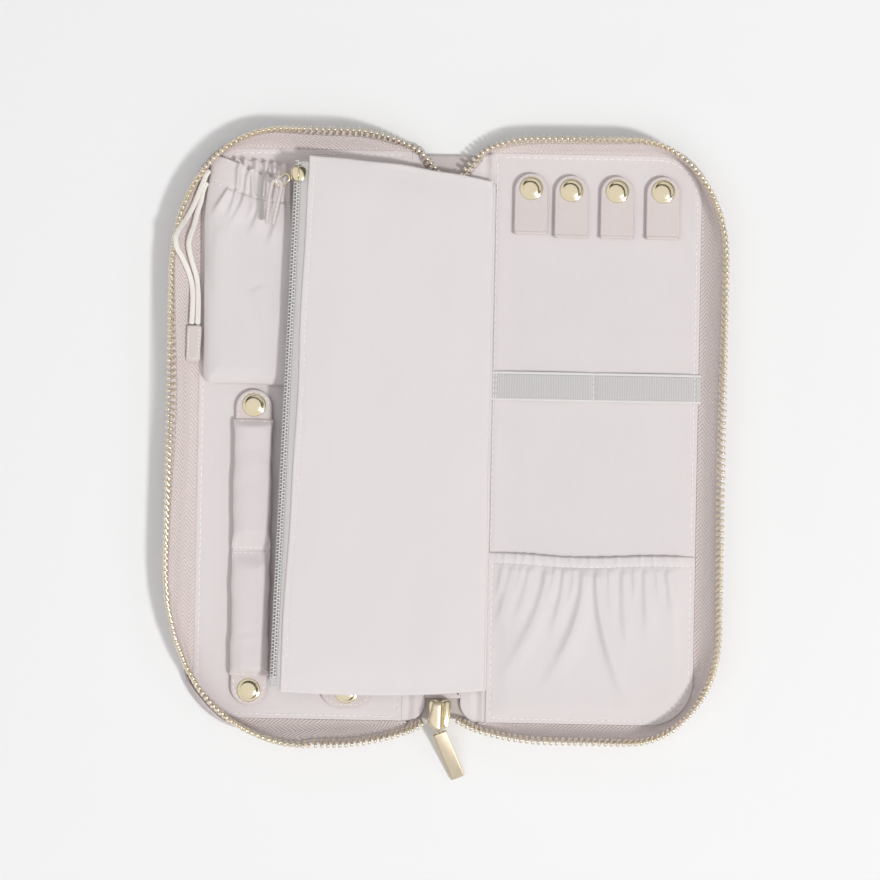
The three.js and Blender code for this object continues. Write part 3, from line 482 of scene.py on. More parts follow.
# The case's main sizes, as its solids have them
FOLD_X = 14.5
PANEL_EDGE_X = 107.3
PANEL_HALF_Y = 122.3
PANEL_CORNER_R = 19.0
COVER_THICK = 1.2
COVER_MARGIN = 1.5
SPINE_HALF_Y = 121.0
SPINE_LINING_HALF_Y = 112.0
BOARD_TOP_Z = 3.4
FLOOR_Z = 4.4
WALL_FOOT_MARGIN = 0.9
WALL_FOOT_Z = 1.7
TIP_Z = 14.6
TIP_Z_AT_SPINE = 7.5
DIP_END_X = 45.0
CLEARANCE = 0.3
TAPE_THICK = 0.7
GUSSET_THICK = 1.1
GUSSET_HEIGHT = 7.4
TOOTH_PITCH = 2.54
TOOTH_LENGTH = 3.0
CLAMP_LENGTH = 1.4
ROW_END_X = 15.2
SIDES = (("right", 1), ("left", -1))

ROWS = {
    "right": dict(reach=118.0, top=128.5, bottom=-130.0, outer_top=(41.4, 51.3),
                  outer_bottom=(39.4, 47.3), spine_top=(32.5, 24.6), spine_bottom=(44.4, 13.8),
                  top_start=1.2, bottom_end=1.6),
    "left": dict(reach=119.6, top=130.5, bottom=-133.1, outer_top=(47.3, 61.1),
                 outer_bottom=(61.1, 74.0), spine_top=(42.4, 28.1), spine_bottom=(51.3, 17.7),
                 top_start=1.8, bottom_end=1.6),
}

# Page: where it hangs, how far it tilts up, and its ends
PAGE_AXIS = (17.8, 8.0)
PAGE_TILT = math.radians(5.5)
PAGE_TOP, PAGE_BOTTOM = 118.2, -111.0
PAGE_ROOT_TOP, PAGE_ROOT_BOTTOM = 108.6, -107.8


def blend_over_fold(obj, sign, from_x, to_x):
    """Puts a piece's transform into its mesh; its sign and its two X are not used."""
    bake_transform(obj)


# Drawstring: two flat suede cords from the pouch's mouth to their shared leather end
CORD_A = [
    (-103.2, 111.4, 10.2), (-104.6, 110.4, 9.6), (-105.8, 107.6, 9.0), (-107.8, 102.5, 8.8),
    (-109.8, 97.0, 9.6), (-112.6, 91.0, 11.6), (-115.0, 86.5, 14.9), (-116.6, 82.5, 16.8),
    (-116.2, 78.2, 16.2), (-114.2, 74.0, 12.4), (-112.0, 69.0, 9.6), (-110.4, 63.5, 8.0),
    (-109.8, 58.0, 8.3), (-109.8, 51.5, 8.8), (-110.0, 45.8, 8.9),
]
CORD_B = [
    (-104.4, 106.6, 8.2), (-105.4, 105.4, 7.7), (-106.4, 102.8, 7.4), (-107.2, 98.6, 7.2),
    (-108.6, 94.0, 7.5), (-109.8, 88.0, 8.8), (-111.2, 83.4, 10.2), (-111.8, 80.0, 10.6),
    (-111.0, 75.0, 9.6), (-109.6, 70.0, 8.0), (-108.3, 65.0, 6.9), (-107.5, 57.0, 7.8),
    (-107.4, 51.0, 8.6), (-107.4, 45.8, 8.9),
]
CORD_WIDTH = 2.3
CORD_THICK = 1.1
END_TAB_TOP = np.array((-108.8, 45.4, 7.95))
END_TAB_TURN = math.radians(-1.5)
END_TAB_SIZE = (6.2, 15.4, 1.9)
END_TAB_SEAM = ((-2.15, -1.2), (-2.15, -13.2), (-1.0, -14.1), (1.0, -14.1), (2.15, -13.2), (2.15, -1.2))


def turned(points, turn):
    """Points turned about Z."""
    c, s = math.cos(turn), math.sin(turn)
    x, y, z = np.moveaxis(np.asarray(points, float), -1, 0)
    return stack(x * c - y * s, x * s + y * c, z)


def add_cords():
    """The two cords, and the folded leather tab that they are sewn into."""
    width, length, thick = END_TAB_SIZE
    rings = []
    for v in np.linspace(0, 1, 29):
        end = max(0.0, (v - 0.86) / 0.14)
        start = max(0.0, (0.06 - v) / 0.06)
        half = width / 2 * (1 - 0.22 * end ** 2.2 - 0.1 * start ** 2 + 0.03 * math.sin(v * 7))
        tip = 1 - max(0.0, (v - 0.93) / 0.07) ** 2 * 0.55
        x, z = round_section(2 * half, thick * tip, 20, 3.6).T
        groove = 0.16 * bell((abs(x) - half + 1.0) / 0.35) * (z > 0)
        rings.append(stack(x, -length * v, z + thick / 2 - groove))
    verts, faces = loft(rings)
    end_tab = piece("drawstring_end_leather", (turned(verts, END_TAB_TURN) + END_TAB_TOP, faces),
                    "left_half", "leather", "drawstring_end_tab")
    subdivide(end_tab)
    seam = turned([(x, y, thick - 0.12) for x, y in END_TAB_SEAM], END_TAB_TURN) + END_TAB_TOP
    thread = sew("drawstring_end_stitches", "left_half", "cord", (seam, 1.7, 1.3, 0.42))
    for name, node, points in (("cord_front", "drawstring_a", CORD_A),
                               ("cord_back", "drawstring_b", CORD_B)):
        line = curve_points(points, 1.2)
        made = sweep(line, round_section(CORD_WIDTH, CORD_THICK, 12, 3.0))
        obj = piece(name, made, "left_half", "cord", node)
        subdivide(obj)
        path = [tuple(q * MM for q in p) for p in line]
        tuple(path[0])
        float(running_length(line)[-1]) * MM


add_cords()


# Zip wall: its foot line and tip line, as pairs of points round a half
def tip_z(x):
    return TIP_Z_AT_SPINE + (TIP_Z - TIP_Z_AT_SPINE) * smooth_step((abs(x) - 2) / (DIP_END_X - 2))


def ellipse_points(centre, radii, start, end):
    """Eleven points of an ellipse's quarter, each straight out from its middle."""
    angle = np.radians(np.linspace(start, end, 11))
    spoke = stack(radii[0] * np.cos(angle), radii[1] * np.sin(angle))
    return np.array(centre) + np.array(radii) * unit(spoke)


def wall_lines(side, sign):
    """Foot points and tip points from the top of the spine round the half to its bottom."""
    row = ROWS[side]
    foot_x = PANEL_EDGE_X + WALL_FOOT_MARGIN
    foot_y = PANEL_HALF_Y + WALL_FOOT_MARGIN
    foot_r = PANEL_CORNER_R + WALL_FOOT_MARGIN
    corner = (foot_x - foot_r, foot_y - foot_r)
    share = np.linspace(0, 1, 8)

    def spine_bend(radii, start_x, y, way):
        middle_x = start_x + radii[0]
        x = ROW_END_X + (middle_x - ROW_END_X) * share
        rise = radii[1] * np.sqrt(np.maximum(0, 1 - ((middle_x - x) / radii[0]) ** 2))
        return stack(x, way * foot_y), stack(x, y - way * radii[1] + way * rise)

    def between(a, b, steps):
        return np.linspace(a, b, steps + 1)[1:-1]

    bend = spine_bend(row["spine_top"], row["top_start"], row["top"], 1)
    low_bend = spine_bend(row["spine_bottom"], row["bottom_end"], row["bottom"], -1)
    tip_top = (row["reach"] - row["outer_top"][0], row["top"] - row["outer_top"][1])
    tip_low = (row["reach"] - row["outer_bottom"][0], row["bottom"] + row["outer_bottom"][1])
    feet = [ellipse_points(corner, (foot_r, foot_r), 90, 0),
            ellipse_points((corner[0], -corner[1]), (foot_r, foot_r), 0, -90)]
    tips = [ellipse_points(tip_top, row["outer_top"], 90, 0),
            ellipse_points(tip_low, row["outer_bottom"], 0, -90)]
    lines = []
    for k, (upper, lower) in enumerate((feet, tips)):
        lines.append(np.concatenate([
            bend[k], between(bend[k][-1], upper[0], 4), upper, between(upper[-1], lower[0], 6), lower,
            between(lower[-1], low_bend[k][-1], 4), low_bend[k][::-1]]))
    foot, tip = lines
    tip_rise = tip_z(tip[:, 0])
    return (stack(sign * foot[:, 0], foot[:, 1], WALL_FOOT_Z),
            stack(sign * tip[:, 0], tip[:, 1], tip_rise))


def wall_frame(feet, tips, sign):
    """Directions at each pair: up along the wall, out through it, along it, and its height."""
    padded = np.concatenate([tips[:1], tips, tips[-1:]])
    along = unit(padded[2:] - padded[:-2])
    up = unit(tips - feet)
    return up, unit(np.cross(up, along)) * sign, along, np.linalg.norm(tips - feet, axis=1)


def even_pairs(feet, tips, step):
    """The same pairs at even steps along the tip line, with the length to each."""
    lengths = running_length(tips)
    at = np.linspace(0, lengths[-1], max(2, int(round(lengths[-1] / step)) + 1))
    pick = lambda p: np.stack([np.interp(at, lengths, p[:, k]) for k in range(3)], axis=-1)
    return pick(feet), pick(tips), at


def leather_gusset(name, body, feet, tips, sign, at, replaced=None):
    """Outer side of the wall: padded leather that rolls over at its top."""
    up, out, _, height = wall_frame(feet, tips, sign)
    top = np.minimum(GUSSET_HEIGHT, height - TOOTH_LENGTH - CLAMP_LENGTH - CLEARANCE)
    v = np.linspace(0, 1, 9)
    rises = 0.1 + (top[:, None] - 0.1) * v
    outs = CLEARANCE / 2 + (0.34 + 0.07 * np.sin(at[:, None] / 21)) * np.sin(np.pi * v)
    inner = feet[:, None] + up[:, None] * rises[..., None] + out[:, None] * outs[..., None]
    outer = inner + out[:, None] * GUSSET_THICK
    return piece(name, loft(np.concatenate([inner, outer[:, ::-1]], axis=1)), body, "shell", replaced)


def tape_sheet(name, body, feet, tips, sign, at, replaced=None, tuck=(1.25, 2.58)):
    """Herringbone tape: it comes out from under the lining's edge and bends up to the teeth."""
    up, out, along, height = wall_frame(feet, tips, sign)
    run = np.concatenate([feet[:1], feet, feet[-1:]])
    level = unit(np.cross((0, 0, 1), unit(run[2:] - run[:-2]))) * sign
    end = np.maximum(height - TOOTH_LENGTH - CLAMP_LENGTH + 0.5, 1.6)
    wall = feet + out * (-CLEARANCE / 2 - TAPE_THICK)
    p0 = feet - level * tuck[0] + np.array([0, 0, tuck[1]])
    p1 = wall + up * np.minimum(end * 0.55, 3.4)[:, None] - level * 0.1
    p2 = wall + up * end[:, None]
    t = np.linspace(0, 1, 12)[None, :, None]
    inner = bezier(p0[:, None], p1[:, None], p2[:, None], t)
    ripple = 0.07 * np.sin(at / 3.1 + sign) + 0.05 * np.sin(at / 1.3)
    inner[..., 2] += ripple[:, None] * np.sin(np.pi * t[..., 0])
    outer = inner + out[:, None] * TAPE_THICK
    outer[:, :3, 2] -= 0.4
    from_teeth = inner - inner[:, -1:]
    ahead = np.sum(from_teeth * along[:, None], axis=-1)
    across = np.linalg.norm(from_teeth - ahead[..., None] * along[:, None], axis=-1)
    weave = np.stack([at[:, None] + ahead, across], axis=-1)
    return piece(name, loft(np.concatenate([inner, outer[:, ::-1]], axis=1)), body, "zip_tape",
                 replaced, uvs=np.concatenate([weave, weave[:, ::-1]], axis=1).reshape(-1, 2))


# Rings of a tooth: height over the middle of the cord, width along the row, depth through the wall
TOOTH_RINGS = [
    (-1.35, 0.9, 1.5), (-1.15, 1.45, 2.1), (-0.1, 1.68, 2.4), (0.8, 1.72, 2.3), (1.2, 1.5, 1.85),
    (1.7, 1.42, 1.75), (2.2, 1.6, 2.0), (2.6, 1.35, 1.7), (2.78, 0.7, 0.9),
]


def tooth(tip, up, out, along):
    """One metal tooth: jaws that grip the tape's corded edge, a neck and a rounded head."""
    root = tip - up * (TOOTH_LENGTH - 0.25)
    return loft([root + up * rise + round_section(wide, deep, 10, 2.9) @ np.array([along, out])
                 for rise, wide, deep in TOOTH_RINGS])


def add_tooth_row(name, body, feet, tips, sign, replaced=None):
    """Corded edge of the tape, and one metal tooth after another clamped over it."""
    feet, tips, at = even_pairs(feet, tips, 1.0)
    up, out, along, _ = wall_frame(feet, tips, sign)
    middle = tips + out * (-CLEARANCE - TAPE_THICK / 2)
    cord_line = middle - up * (TOOTH_LENGTH - 0.3)
    low = -CLAMP_LENGTH - 1.2
    band = np.array([(-0.32, low), (0.32, low), (0.32, -0.4), (-0.32, -0.4)])
    edge = joined([loft([p + ring @ np.array([o, u]) for p, o, u in zip(cord_line, out, up)])
                   for ring in (round_section(1.1, 1.3, 8), band)])
    along_uv = np.concatenate([np.repeat(at, 8), np.repeat(at, 4)])
    uvs = np.stack([along_uv, 0.8 + (np.arange(len(edge[0])) % 4) * 0.4], axis=-1)
    made = [piece(name + "_tape_edge", edge, body, "zip_tape", uvs=uvs)]

    count = max(1, int(round(at[-1] / TOOTH_PITCH)))
    rng = random.Random(name)
    parts = []
    for q in (np.arange(count) + 0.5) * at[-1] / count:
        p, u, o, w = (np.array([np.interp(q, at, field[:, k]) for k in range(3)])
                      for field in (middle, up, out, along))
        o = unit(o - u * np.dot(o, u))
        w = unit(w - u * np.dot(w, u) - o * np.dot(w, o))
        parts.append(tooth(p, unit(u + w * rng.uniform(-0.03, 0.03)), o, w))
    made.append(piece(name + "_teeth", joined(parts), body, "gold", replaced, "gold_teeth"))
    return made


def add_zip_walls():
    for side, sign in SIDES:
        body = side + "_half"
        feet, tips, at = even_pairs(*wall_lines(side, sign), 2.0)
        leather_gusset(side + "_gusset_leather", body, feet, tips, sign, at, side + "_gusset")
        tape_sheet(side + "_tape_weave", body, feet, tips, sign, at, side + "_zip_tape")
        add_tooth_row(side, body, feet, tips, sign, side + "_zip_teeth")


# Ends of the rows: half, its sign, top or not, and the X where the fold's bend starts and the row ends
ZIP_ENDS = {
    "zip_end_top_right": ("right", 1, True, 9.5, 2.6),
    "zip_end_top_left": ("left", -1, True, 9.5, 2.6),
    "zip_end_bottom_right": ("right", 1, False, 9.5, 4.8),
    "zip_end_bottom_left": ("left", -1, False, 11.5, 6.8),
}


def zip_end_lines(side, sign, top, from_x, to_x):
    """Foot and tip points from the end of a half's wall down onto the spine, and where X is."""
    row = ROWS[side]
    way = 1 if top else -1
    radii = row["spine_top"] if top else row["spine_bottom"]
    middle_x = (row["top_start"] if top else row["bottom_end"]) + radii[0]
    x = np.arange(ROW_END_X, to_x - 1e-6, -0.6)
    rise = radii[1] * np.sqrt(np.maximum(0, 1 - ((middle_x - x) / radii[0]) ** 2))
    y = (row["top"] if top else row["bottom"]) - way * radii[1] + way * rise
    foot_y = way * np.minimum(abs(y) - 1.2, SPINE_HALF_Y - 2 * CLEARANCE)
    foot_z = (FLOOR_Z if top else COVER_THICK) + CLEARANCE
    t = smooth_step((x - from_x) / (ROW_END_X - from_x))
    wall_foot = np.array([ROW_END_X, way * (PANEL_HALF_Y + WALL_FOOT_MARGIN), WALL_FOOT_Z])
    feet = stack(np.minimum(x + 2.6, 11.6), foot_y, foot_z) * (1 - t)[:, None] + wall_foot * t[:, None]
    tips = stack(x, y, tip_z(x) + 0.2 * (1 - t))
    mirror = np.array([sign, 1, 1])
    return feet * mirror, tips * mirror, x


def add_zip_ends():
    """Ends of the rows: a stretch over each fold, and a stretch sewn to the spine."""
    for name, (side, sign, top, from_x, to_x) in ZIP_ENDS.items():
        feet, tips, xs = zip_end_lines(side, sign, top, from_x, to_x)
        cut = len(xs) - int(np.argmin(np.abs(xs - from_x)))
        turn = sign * (1 if top else -1)
        for span, body in ((slice(cut), "spine"), (slice(cut - 1, None), None)):
            part = even_pairs(feet[::-1][span], tips[::-1][span], 0.8)
            label = name if body else name.replace("zip_end", "zip_bend")
            made = add_tooth_row(label, body, *part[:2], turn, name if body else None)
            made.append(tape_sheet(label + "_tape", body, *part[:2], turn, part[2], tuck=(0.9, 0.35)))
            if not body:
                made.append(leather_gusset(label + "_leather", body, *part[:2], turn, part[2]))
                for obj in made:
                    blend_over_fold(obj, sign, from_x, ROW_END_X + 0.6)


add_zip_walls()
add_zip_ends()


# Flat panels with rounded corners, laid out as rings that shrink from the edge inwards
def panel_outline(sign, margin, fold_x):
    """Closed line round a half's panel from its fold to its outer edge."""
    r = PANEL_CORNER_R + margin
    x, y = PANEL_EDGE_X + margin - r, PANEL_HALF_Y + margin
    turn = np.linspace(0, math.pi / 2, 13)[1:]
    flat = np.linspace(fold_x, x, 34)
    line = np.concatenate([
        stack(flat, -y),
        stack(x + r * np.sin(turn), -y + r - r * np.cos(turn)),
        stack(x + r, np.linspace(-y + r, y - r, 82)[1:]),
        stack(x + r * np.cos(turn), y - r + r * np.sin(turn)),
        stack(np.linspace(x, fold_x, 34)[1:], y),
        stack(fold_x, np.linspace(y, -y, 96)[1:-1])])
    return line * (sign, 1)


def inset_line(line, amount):
    """Closed line moved inwards by an amount, with square corners kept square."""
    after = np.roll(line, -1, axis=0)
    area = np.sum(line[:, 0] * after[:, 1] - after[:, 0] * line[:, 1])
    way = 1 if area > 0 else -1
    a, b = unit(line - np.roll(line, 1, axis=0)), unit(after - line)
    na = np.stack([-a[:, 1], a[:, 0]], axis=1) * way
    nb = np.stack([-b[:, 1], b[:, 0]], axis=1) * way
    bisector = unit(na + nb)
    reach = 1 / np.maximum(0.5, np.sum(bisector * na, axis=1))
    return line + bisector * (amount * reach)[:, None]


def panel_body(line, profile):
    """Closed panel through rings: profile is (inset, z) pairs."""
    return loft([np.column_stack([inset_line(line, inset), np.full(len(line), z)])
                 for inset, z in profile])


COVER_PROFILE = ((2.4, 0.0), (1.1, 0.0), (0.5, 0.03), (0.12, 0.25), (0.0, 0.6), (0.14, 0.98),
                 (0.55, 1.17), (1.1, 1.2), (2.4, 1.2))


def add_covers():
    """Grained leather outside of each half, turned over its edge."""
    for side, sign in SIDES:
        line = panel_outline(sign, COVER_MARGIN, FOLD_X + 3.2)
        piece(side + "_cover_leather", panel_body(line, COVER_PROFILE), side + "_half", "shell",
              side + "_cover")


# Lining's edge: how far down its face lies at each distance inwards
LINING_INSETS = np.array([0.0, 0.03, 0.16, 0.42, 0.8, 1.3, 1.8, 2.2, 2.6, 3.2, 4.6, 7.5])
LINING_DROPS = [0.95, 0.62, 0.36, 0.18, 0.07, 0.03, 0.12, 0.2, 0.12, 0.02, 0.0, 0.0]


def add_linings():
    """Padded lining panels: a rounded edge, a line of stitches, and a soft uneven face."""
    x0, x1, half_y, radius = FOLD_X + 2.6, PANEL_EDGE_X, PANEL_HALF_Y, PANEL_CORNER_R
    insets, wide = LINING_INSETS, PANEL_EDGE_X - FOLD_X - 2.6
    ys = np.concatenate([half_y - insets, np.linspace(half_y - 10, 10 - half_y, 110),
                         insets[::-1] - half_y])
    us = np.concatenate([insets, np.linspace(9, wide - 9, 38), wide - insets[::-1]]) / wide
    over = np.clip(np.abs(ys) - (half_y - radius), 0, radius)
    reach = x1 - radius + np.sqrt(radius ** 2 - over ** 2)
    x = x0 + (reach - x0)[:, None] * us
    y = np.broadcast_to(ys[:, None], x.shape)
    qx, qy = x - (x1 - radius), np.abs(y) - (half_y - radius)
    near = np.where((qx > 0) & (qy > 0), radius - np.hypot(np.maximum(qx, 0), np.maximum(qy, 0)),
                    np.minimum(x1 - x, half_y - np.abs(y)))
    near = np.minimum(near, x - x0)
    for side, sign in SIDES:
        body = side + "_half"
        uneven = 0.05 * np.sin(x / 11.0) * np.sin(y / 14.0 + sign) + 0.04 * np.sin(y / 5.3 + x / 7.9)
        z = FLOOR_Z - np.interp(near, insets, LINING_DROPS) + uneven * np.clip(near / 3, 0, 1)
        made = closed_grid(stack(sign * x, y, z), stack(sign * x, y, BOARD_TOP_Z))
        piece(side + "_lining_cloth", made, body, "lining", side + "_lining_panel")
        seam = inset_line(panel_outline(sign, 0, x0), 2.2)
        run = [(*p, FLOOR_Z - 0.12) for p in seam if abs(p[0]) > FOLD_X + 5.0]
        sew(side + "_lining_stitches", body, "lining", (even_points(run, 0.8), 3.0, 2.35, 0.58))
        upright = [(sign * (FOLD_X + 4.7), q, FLOOR_Z - 0.02) for q in (-118.6, 118.6)]
        sew(side + "_fold_stitches", body, "lining", (even_points(upright, 1.0), 3.0, 2.35, 0.58))


def rectangle(half_x, half_y):
    """Closed line round a rectangle, with points along its sides."""
    corner = np.array([(-half_x, -half_y), (half_x, -half_y), (half_x, half_y), (-half_x, half_y)])
    return np.concatenate([np.linspace(corner[k], corner[(k + 1) % 4], 60 if k % 2 else 12, endpoint=False)
                           for k in range(4)])


def add_spine():
    """Lining of the spine, and the shell leather under it."""
    profile = [(0.3, BOARD_TOP_Z)]
    profile += [(inset, FLOOR_Z - drop) for inset, drop in (
        (0, 0.8), (0.05, 0.45), (0.3, 0.2), (0.8, 0.05), (1.5, 0.0), (3.0, 0.0))]
    piece("spine_lining_cloth", panel_body(rectangle(8.2, SPINE_LINING_HALF_Y), profile), "spine",
          "lining", "spine_lining")
    profile = ((0.5, 0.0), (0.1, 0.25), (0.0, 0.7), (0.12, 1.5), (0.4, 2.05), (1.0, 2.3), (2.2, 2.35))
    piece("spine_leather", panel_body(rectangle(FOLD_X - 3.2, SPINE_HALF_Y), profile), "spine",
          "shell", "spine_cover")


def fold_strip(name, sign, x0, x1, ends, top, thick, slot, sag, bend):
    """Sheet that crosses a fold: ends gives its two ends for each X."""
    def place(u, v):
        x = x0 + (x1 - x0) * u
        high, low = ends(x)
        y = high + (low - high) * v
        dip = sag * np.sin(np.pi * np.clip((x - bend[0]) / (bend[1] - bend[0]), 0, 1)) ** 2
        return sign * x, y, top - dip * (1 + 0.25 * np.sin(y / 3.7) + 0.2 * np.sin(y / 1.9 + 1))
    blend_over_fold(piece(name, slab(grid(22, 160, place), thick), None, slot), sign, *bend)


def rounded_end(x, y_start, x_end):
    """Y of a quarter ellipse that rises over the spine's edge from one height to the wall's."""
    t = np.clip((x_end - x) / (x_end - 7.4), 0, 1)
    return y_start + (121.9 - y_start) * np.sqrt(1 - t * t)


def add_folds():
    flat = lambda x: (SPINE_HALF_Y - 0.4, 0.4 - SPINE_HALF_Y)
    round_ends = lambda x: (rounded_end(x, 112.0, 16.6), -rounded_end(x, 113.0, 15.0))
    for side, sign in SIDES:
        span = (FOLD_X - 3.6, FOLD_X + 3.6)
        fold_strip(side + "_fold_leather", sign, *span, flat, 1.2, 1.15, "shell", 0.0, span)
        fold_strip(side + "_fold_lining", sign, 7.5, FOLD_X + 3.0, round_ends, FLOOR_Z - 0.03, 0.6,
                   "lining", 0.9, (FOLD_X - 2.8, FOLD_X + 2.9))


add_covers()
add_linings()
add_spine()
add_folds()


# Snap caps and leather tabs
# A cap's profile: radius and height as shares of its own, with the rolled rim in millimetres
CAP_RADIUS = 5.0
CAP_HEIGHT = 1.5
CAP_RIM = ((0.0, -0.55), (0.28, -0.55), (0.28, -0.02), (0.90, -0.02), (0.985, 0.05), (1, 0.2),
           (0.985, 0.36), (0.95, 0.47), (0.90, 0.53), (0.86, 0.56), (0.80, 0.66))
CAP_DOME = ((0.70, 0.62), (0.55, 0.79), (0.38, 0.91), (0.2, 0.98), (0.06, 1), (0.0, 1))


def snap_cap(name, x, y, z, body, replaced):
    """Domed cap with a rolled rim and a faint ring, as pressed sheet metal has."""
    around = super_ellipse(56, 1)
    profile = [*CAP_RIM, *((r, h * CAP_HEIGHT) for r, h in CAP_DOME)]
    rings = [stack(*(around * max(r * CAP_RADIUS, 1e-3)).T, h) + (x, y, z) for r, h in profile]
    piece(name, loft(rings), body, "gold", replaced)


# A tongue's edge: how far down its face lies at each distance inwards
TONGUE_INSETS = np.array([0.0, 0.05, 0.2, 0.5, 0.95, 1.35, 1.75, 2.4])
TONGUE_DROPS = [0.62, 0.36, 0.14, 0.03, 0.0, 0.10, 0.0, 0.0]


def tongue(x, width, y0, y1, base_z, thick, corner=None):
    """Leather tongue from a square end at y0 to a round end at y1, with soft skived edges."""
    way = 1 if y1 > y0 else -1
    r = corner or width / 2
    length = abs(y1 - y0)
    vs = np.concatenate([[0.0, 0.1, 0.4, 1.0], np.linspace(2.0, length - 3.2, 22),
                         length - TONGUE_INSETS[::-1]])
    us = TONGUE_INSETS / width
    us = np.concatenate([us, np.linspace(0.2, 0.8, 13), 1 - us[::-1]])
    half = width / 2 - r + np.sqrt(np.maximum(r * r - np.clip(vs - (length - r), 0, r) ** 2, 1e-6))
    px = (us * 2 - 1) * half[:, None]
    py = np.broadcast_to(vs[:, None], px.shape)
    qx, qy = np.abs(px) - (width / 2 - r), py - (length - r)
    near = np.where((qx > 0) & (qy > 0), r - np.hypot(np.maximum(qx, 0), np.maximum(qy, 0)),
                    np.minimum(width / 2 - np.abs(px), length - py))
    drop = np.interp(near, TONGUE_INSETS, TONGUE_DROPS) * min(1.0, thick)
    z = base_z + thick - drop - np.interp(py, [0, 0.4], [0.3, 0])
    flat = (x + px, y0 + way * py)
    return closed_grid(stack(*flat, np.maximum(z, base_z + 0.05)), stack(*flat, base_z))


def tongue_seam(x, width, y0, y1, z, inset=1.35, start=1.2, corner=None):
    """Line of a tongue's stitches, from one square corner round its end to the other."""
    way = 1 if y1 > y0 else -1
    r = (corner or width / 2) - inset
    half = width / 2 - inset
    end = y1 - way * inset
    turn = math.pi / 2 * np.arange(13) / 12
    line = [(x - half, y0 + way * start, z)]
    line += [(x - half + r - r * math.cos(a), end - way * (r - r * math.sin(a)), z) for a in turn]
    line += [(x + half - r + r * math.sin(a), end - way * (r - r * math.cos(a)), z) for a in turn]
    return even_points([*line, (x + half, y0 + way * start, z)], 0.6)


# Necklace tabs: X, and the Y of each one's top and bottom
TABS = ((33.8, 113.2, 87.2), (51.0, 112.6, 86.0), (70.6, 112.6, 86.0), (90.2, 112.8, 86.0))


def add_necklace_tabs():
    """Four leather loops: a sewn base, and a flap that folds up and snaps down over it."""
    for i, (x, top, bottom) in enumerate(TABS):
        name = f"necklace_tab_{i + 1}"
        cap_y = top - 6.4
        base_top = FLOOR_Z + 1.0
        flap_low = base_top + 0.5
        base = slab(grid(10, 16, lambda u, v: (
            x + 6.2 * (2 * u - 1), cap_y + 2.2 + (bottom - cap_y - 1.8) * v, base_top)), 0.96)
        piece(name + "_base_leather", base, "right_half", "leather", name + "_base")
        flap = tongue(x, 14.2, bottom + 0.2, top, flap_low, 1.0)
        piece(name + "_leather", flap, name, "leather", name + "_flap")
        # The fold at its lower end, rounded like a rolled strip
        line = stack(x + np.linspace(-7.0, 7.0, 15), bottom + 0.75, base_top + 0.62)
        made = sweep(line, round_section(1.7, 2.2, 14, 2.6), size=[0.9] + [1.0] * 13 + [0.9])
        piece(name + "_fold", made, name, "leather")
        snap_cap(name + "_snap", x, cap_y, flap_low + 1.0, name, name + "_cap")


# Elastic band: its box, the X of its seams, and the section of its selvedges
BAND = (17.0, 108.0, 16.0, 28.6)
BAND_SEAMS = (19.6, 62.0, 105.2)
SELVEDGE_INWARD = np.array([0.0, 0.14, 0.4, 0.75, 1.0, 1.15])[:, None]
SELVEDGE_LIFT = np.array([-0.28, 0.0, 0.12, 0.12, 0.04, -0.2])[:, None]


def add_elastic_band():
    """Ribbed elastic sewn down at both ends and in the middle, with soft rolled edges."""
    x0, x1, y0, y1 = BAND
    vs = np.array([0, 0.012, 0.04, 0.08, *np.linspace(0.13, 0.87, 15), 0.92, 0.96, 0.988, 1])[:, None]
    x = x0 + (x1 - x0) * np.linspace(0, 1, 180)
    y = y1 + (y0 - y1) * vs
    z = FLOOR_Z + 1.0 - 0.5 * (1 - smooth_step(np.minimum(y1 - y, y - y0) / 0.7)) + 0 * x
    for seam in BAND_SEAMS:
        z = z - 0.38 * bell((x - seam) / 1.3)
        y = y + (y - (y0 + y1) / 2) * -0.012 * bell((x - seam) / 2.5)
    for a, b in zip(BAND_SEAMS, BAND_SEAMS[1:]):
        z = z + 0.28 * np.sin(np.pi * np.clip((x - a) / (b - a), 0, 1))
    # Its end turns down over the lining's edge
    z = z - 0.5 * smooth_step((x - 106.4) / 1.0)
    low = np.maximum(z - 0.5, FLOOR_Z + 0.02)
    made = closed_grid(stack(x, y, np.maximum(z, low + 0.1)), stack(x, y, low))
    piece("elastic_band_weave", made, "right_half", "elastic", "elastic_band")
    selvedges = []
    for row, way in ((0, -1), (-1, 1)):
        strip = stack(x, y[row] + way * SELVEDGE_INWARD, z[len(vs) // 2] + SELVEDGE_LIFT)[::-way]
        selvedges.append(closed_grid(strip, strip - [0, 0, 0.25]))
    piece("elastic_band_selvedges", joined(selvedges), "right_half", "elastic", look="selvedge")
    a, b, c = BAND_SEAMS
    sew("elastic_band_stitches", "right_half", "elastic", *[
        (even_points([(q, y1 - 0.6, FLOOR_Z + 0.72), (q, y0 + 0.6, FLOOR_Z + 0.72)], 0.6), 2.0, 1.5, 0.45)
        for q in (a - 0.4, a + 0.7, b, c + 0.1)])


add_necklace_tabs()
add_elastic_band()
